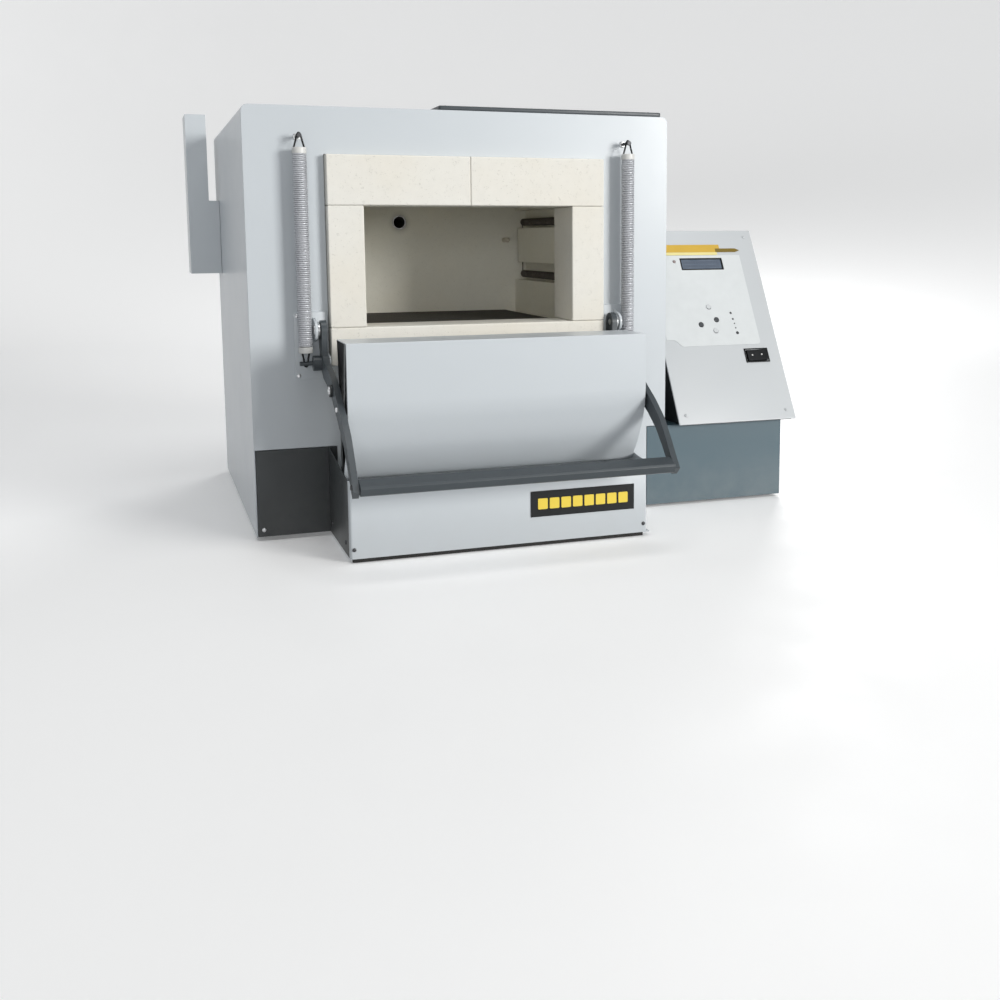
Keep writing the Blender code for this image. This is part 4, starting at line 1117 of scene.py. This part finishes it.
FLOOR_RADIUS = 3.2
FLOOR_CURVE = 1.2
WALL_TOP = 4.0
SKY_COLOUR = (0.93, 0.96, 1.0, 1.0)
WORLD_LIGHT = 0.22
GROUND_LIGHT = 0.46
LAMP_AIM = Vector((0.0, 0.0, 0.28))
LAMPS = (
    ("window", (3.4, -4.9, 1.4), (1.9, 1.7), 280.0, (1.0, 0.99, 0.97)),
    ("overhead", (0.0, -0.9, 3.6), (2.6, 2.0), 45.0, (1.0, 1.0, 1.0)),
    ("fill", (-1.3, -4.4, 0.8), (1.6, 1.4), 28.0, (1.0, 1.0, 1.0)),
    ("side", (-4.4, 1.5, 1.2), (2.2, 1.8), 20.0, (0.97, 0.985, 1.0)),
    ("rear", (2.6, 4.8, 2.0), (2.4, 1.8), 130.0, (1.0, 1.0, 1.0)),
)


def studio_floor():
    """Round pale floor that curves up into a wall on every side."""
    bm = bmesh.new()
    profile = [(0.0, 0.0), (FLOOR_RADIUS, 0.0)]
    for step in range(1, 10):
        angle = math.radians(10.0 * step)
        out, up = FLOOR_CURVE * math.sin(angle), FLOOR_CURVE * (1.0 - math.cos(angle))
        profile.append((FLOOR_RADIUS + out, up))
    profile.append((FLOOR_RADIUS + FLOOR_CURVE, WALL_TOP))
    verts = [bm.verts.new((radius, 0.0, height)) for radius, height in profile]
    edges = [bm.edges.new(pair) for pair in zip(verts[:-1], verts[1:])]
    bmesh.ops.spin(bm, geom=verts + edges, cent=(0.0, 0.0, 0.0), axis=(0.0, 0.0, 1.0),
                   angle=2.0 * math.pi, steps=96, use_merge=True)
    bmesh.ops.remove_doubles(bm, verts=bm.verts, dist=0.0001)
    bmesh.ops.recalc_face_normals(bm, faces=bm.faces)
    mesh = bpy.data.meshes.new("studio_floor")
    bm.to_mesh(mesh)
    bm.free()
    mesh.shade_smooth()
    floor = bpy.data.objects.new("studio_floor", mesh)
    floor.data.materials.append(MATERIALS["floor"])
    bpy.context.scene.collection.objects.link(floor)
    floor.visible_shadow = False
    floor.visible_diffuse = False


def studio_sky():
    """Even background light, brighter from below, as a pale room would throw it back."""
    world = bpy.data.worlds.new("studio")
    world.use_nodes = True
    tree = world.node_tree
    sky = tree.nodes["Background"]
    sky.inputs["Color"].default_value = SKY_COLOUR
    level = add(tree, "SeparateXYZ", {"Vector": add(tree, "TexCoord").outputs["Generated"]})
    spread = {"Value": level.outputs["Z"], "From Min": -0.7, "From Max": 0.1, "To Min": GROUND_LIGHT,
              "To Max": WORLD_LIGHT}
    tree.links.new(add(tree, "MapRange", spread).outputs["Result"], sky.inputs["Strength"])
    bpy.context.scene.world = world
    bpy.context.scene.view_settings.view_transform = "Standard"


def studio_lamps():
    """Large soft lamps round the kiln, all aimed at its middle."""
    for name, spot, size, power, colour in LAMPS:
        light = bpy.data.lights.new(name, "AREA")
        light.shape = "RECTANGLE"
        light.size, light.size_y = size
        light.energy = power
        light.color = colour
        lamp = bpy.data.objects.new(name, light)
        bpy.context.scene.collection.objects.link(lamp)
        lamp.location = spot
        aim = LAMP_AIM - Vector(spot)
        lamp.rotation_euler = aim.to_track_quat("-Z", "Y").to_euler()


# ------------ camera

CAMERA_SPOT = at(-0.4578, -1.6565, 0.4210)
CAMERA_FORWARD = Vector((0.33396, 0.93295, -0.13442))
CAMERA_ROLL = math.radians(-0.262)
CAMERA_LENS = 42.39
CAMERA_SHIFT = (-0.0578, -0.1030)


def camera():
    """The photograph's viewpoint, with a small shift for its framing."""
    data = bpy.data.cameras.new("camera")
    data.lens = CAMERA_LENS
    data.sensor_width = 36.0
    data.shift_x, data.shift_y = CAMERA_SHIFT
    obj = bpy.data.objects.new("camera", data)
    bpy.context.scene.collection.objects.link(obj)
    forward = CAMERA_FORWARD.normalized()
    right = forward.cross(Vector((0.0, 0.0, 1.0))).normalized()
    up = right.cross(forward)
    x_axis = right * math.cos(CAMERA_ROLL) + up * math.sin(CAMERA_ROLL)
    y_axis = up * math.cos(CAMERA_ROLL) - right * math.sin(CAMERA_ROLL)
    turn = Matrix((x_axis, y_axis, -forward)).transposed().to_4x4()
    obj.matrix_world = Matrix.Translation(CAMERA_SPOT) @ turn
    bpy.context.scene.camera = obj


# ------------ build

for node_name, (finish, radius) in DRESSING.items():
    dress(node_name, finish, radius)
for side_name, hook_spot in HOOK.items():
    spring(side_name, hook_spot)
    spring_peg(side_name, hook_spot)
for side_name, side_sign in SIDES:
    pivot_bracket(side_name, side_sign)
    pivot_pins(side_name, side_sign)
rear_panel()
top_cover()
lower_cover()
heating_coils()
controller()
plate_blocks()
fasteners()
studio_floor()
studio_sky()
studio_lamps()
camera()
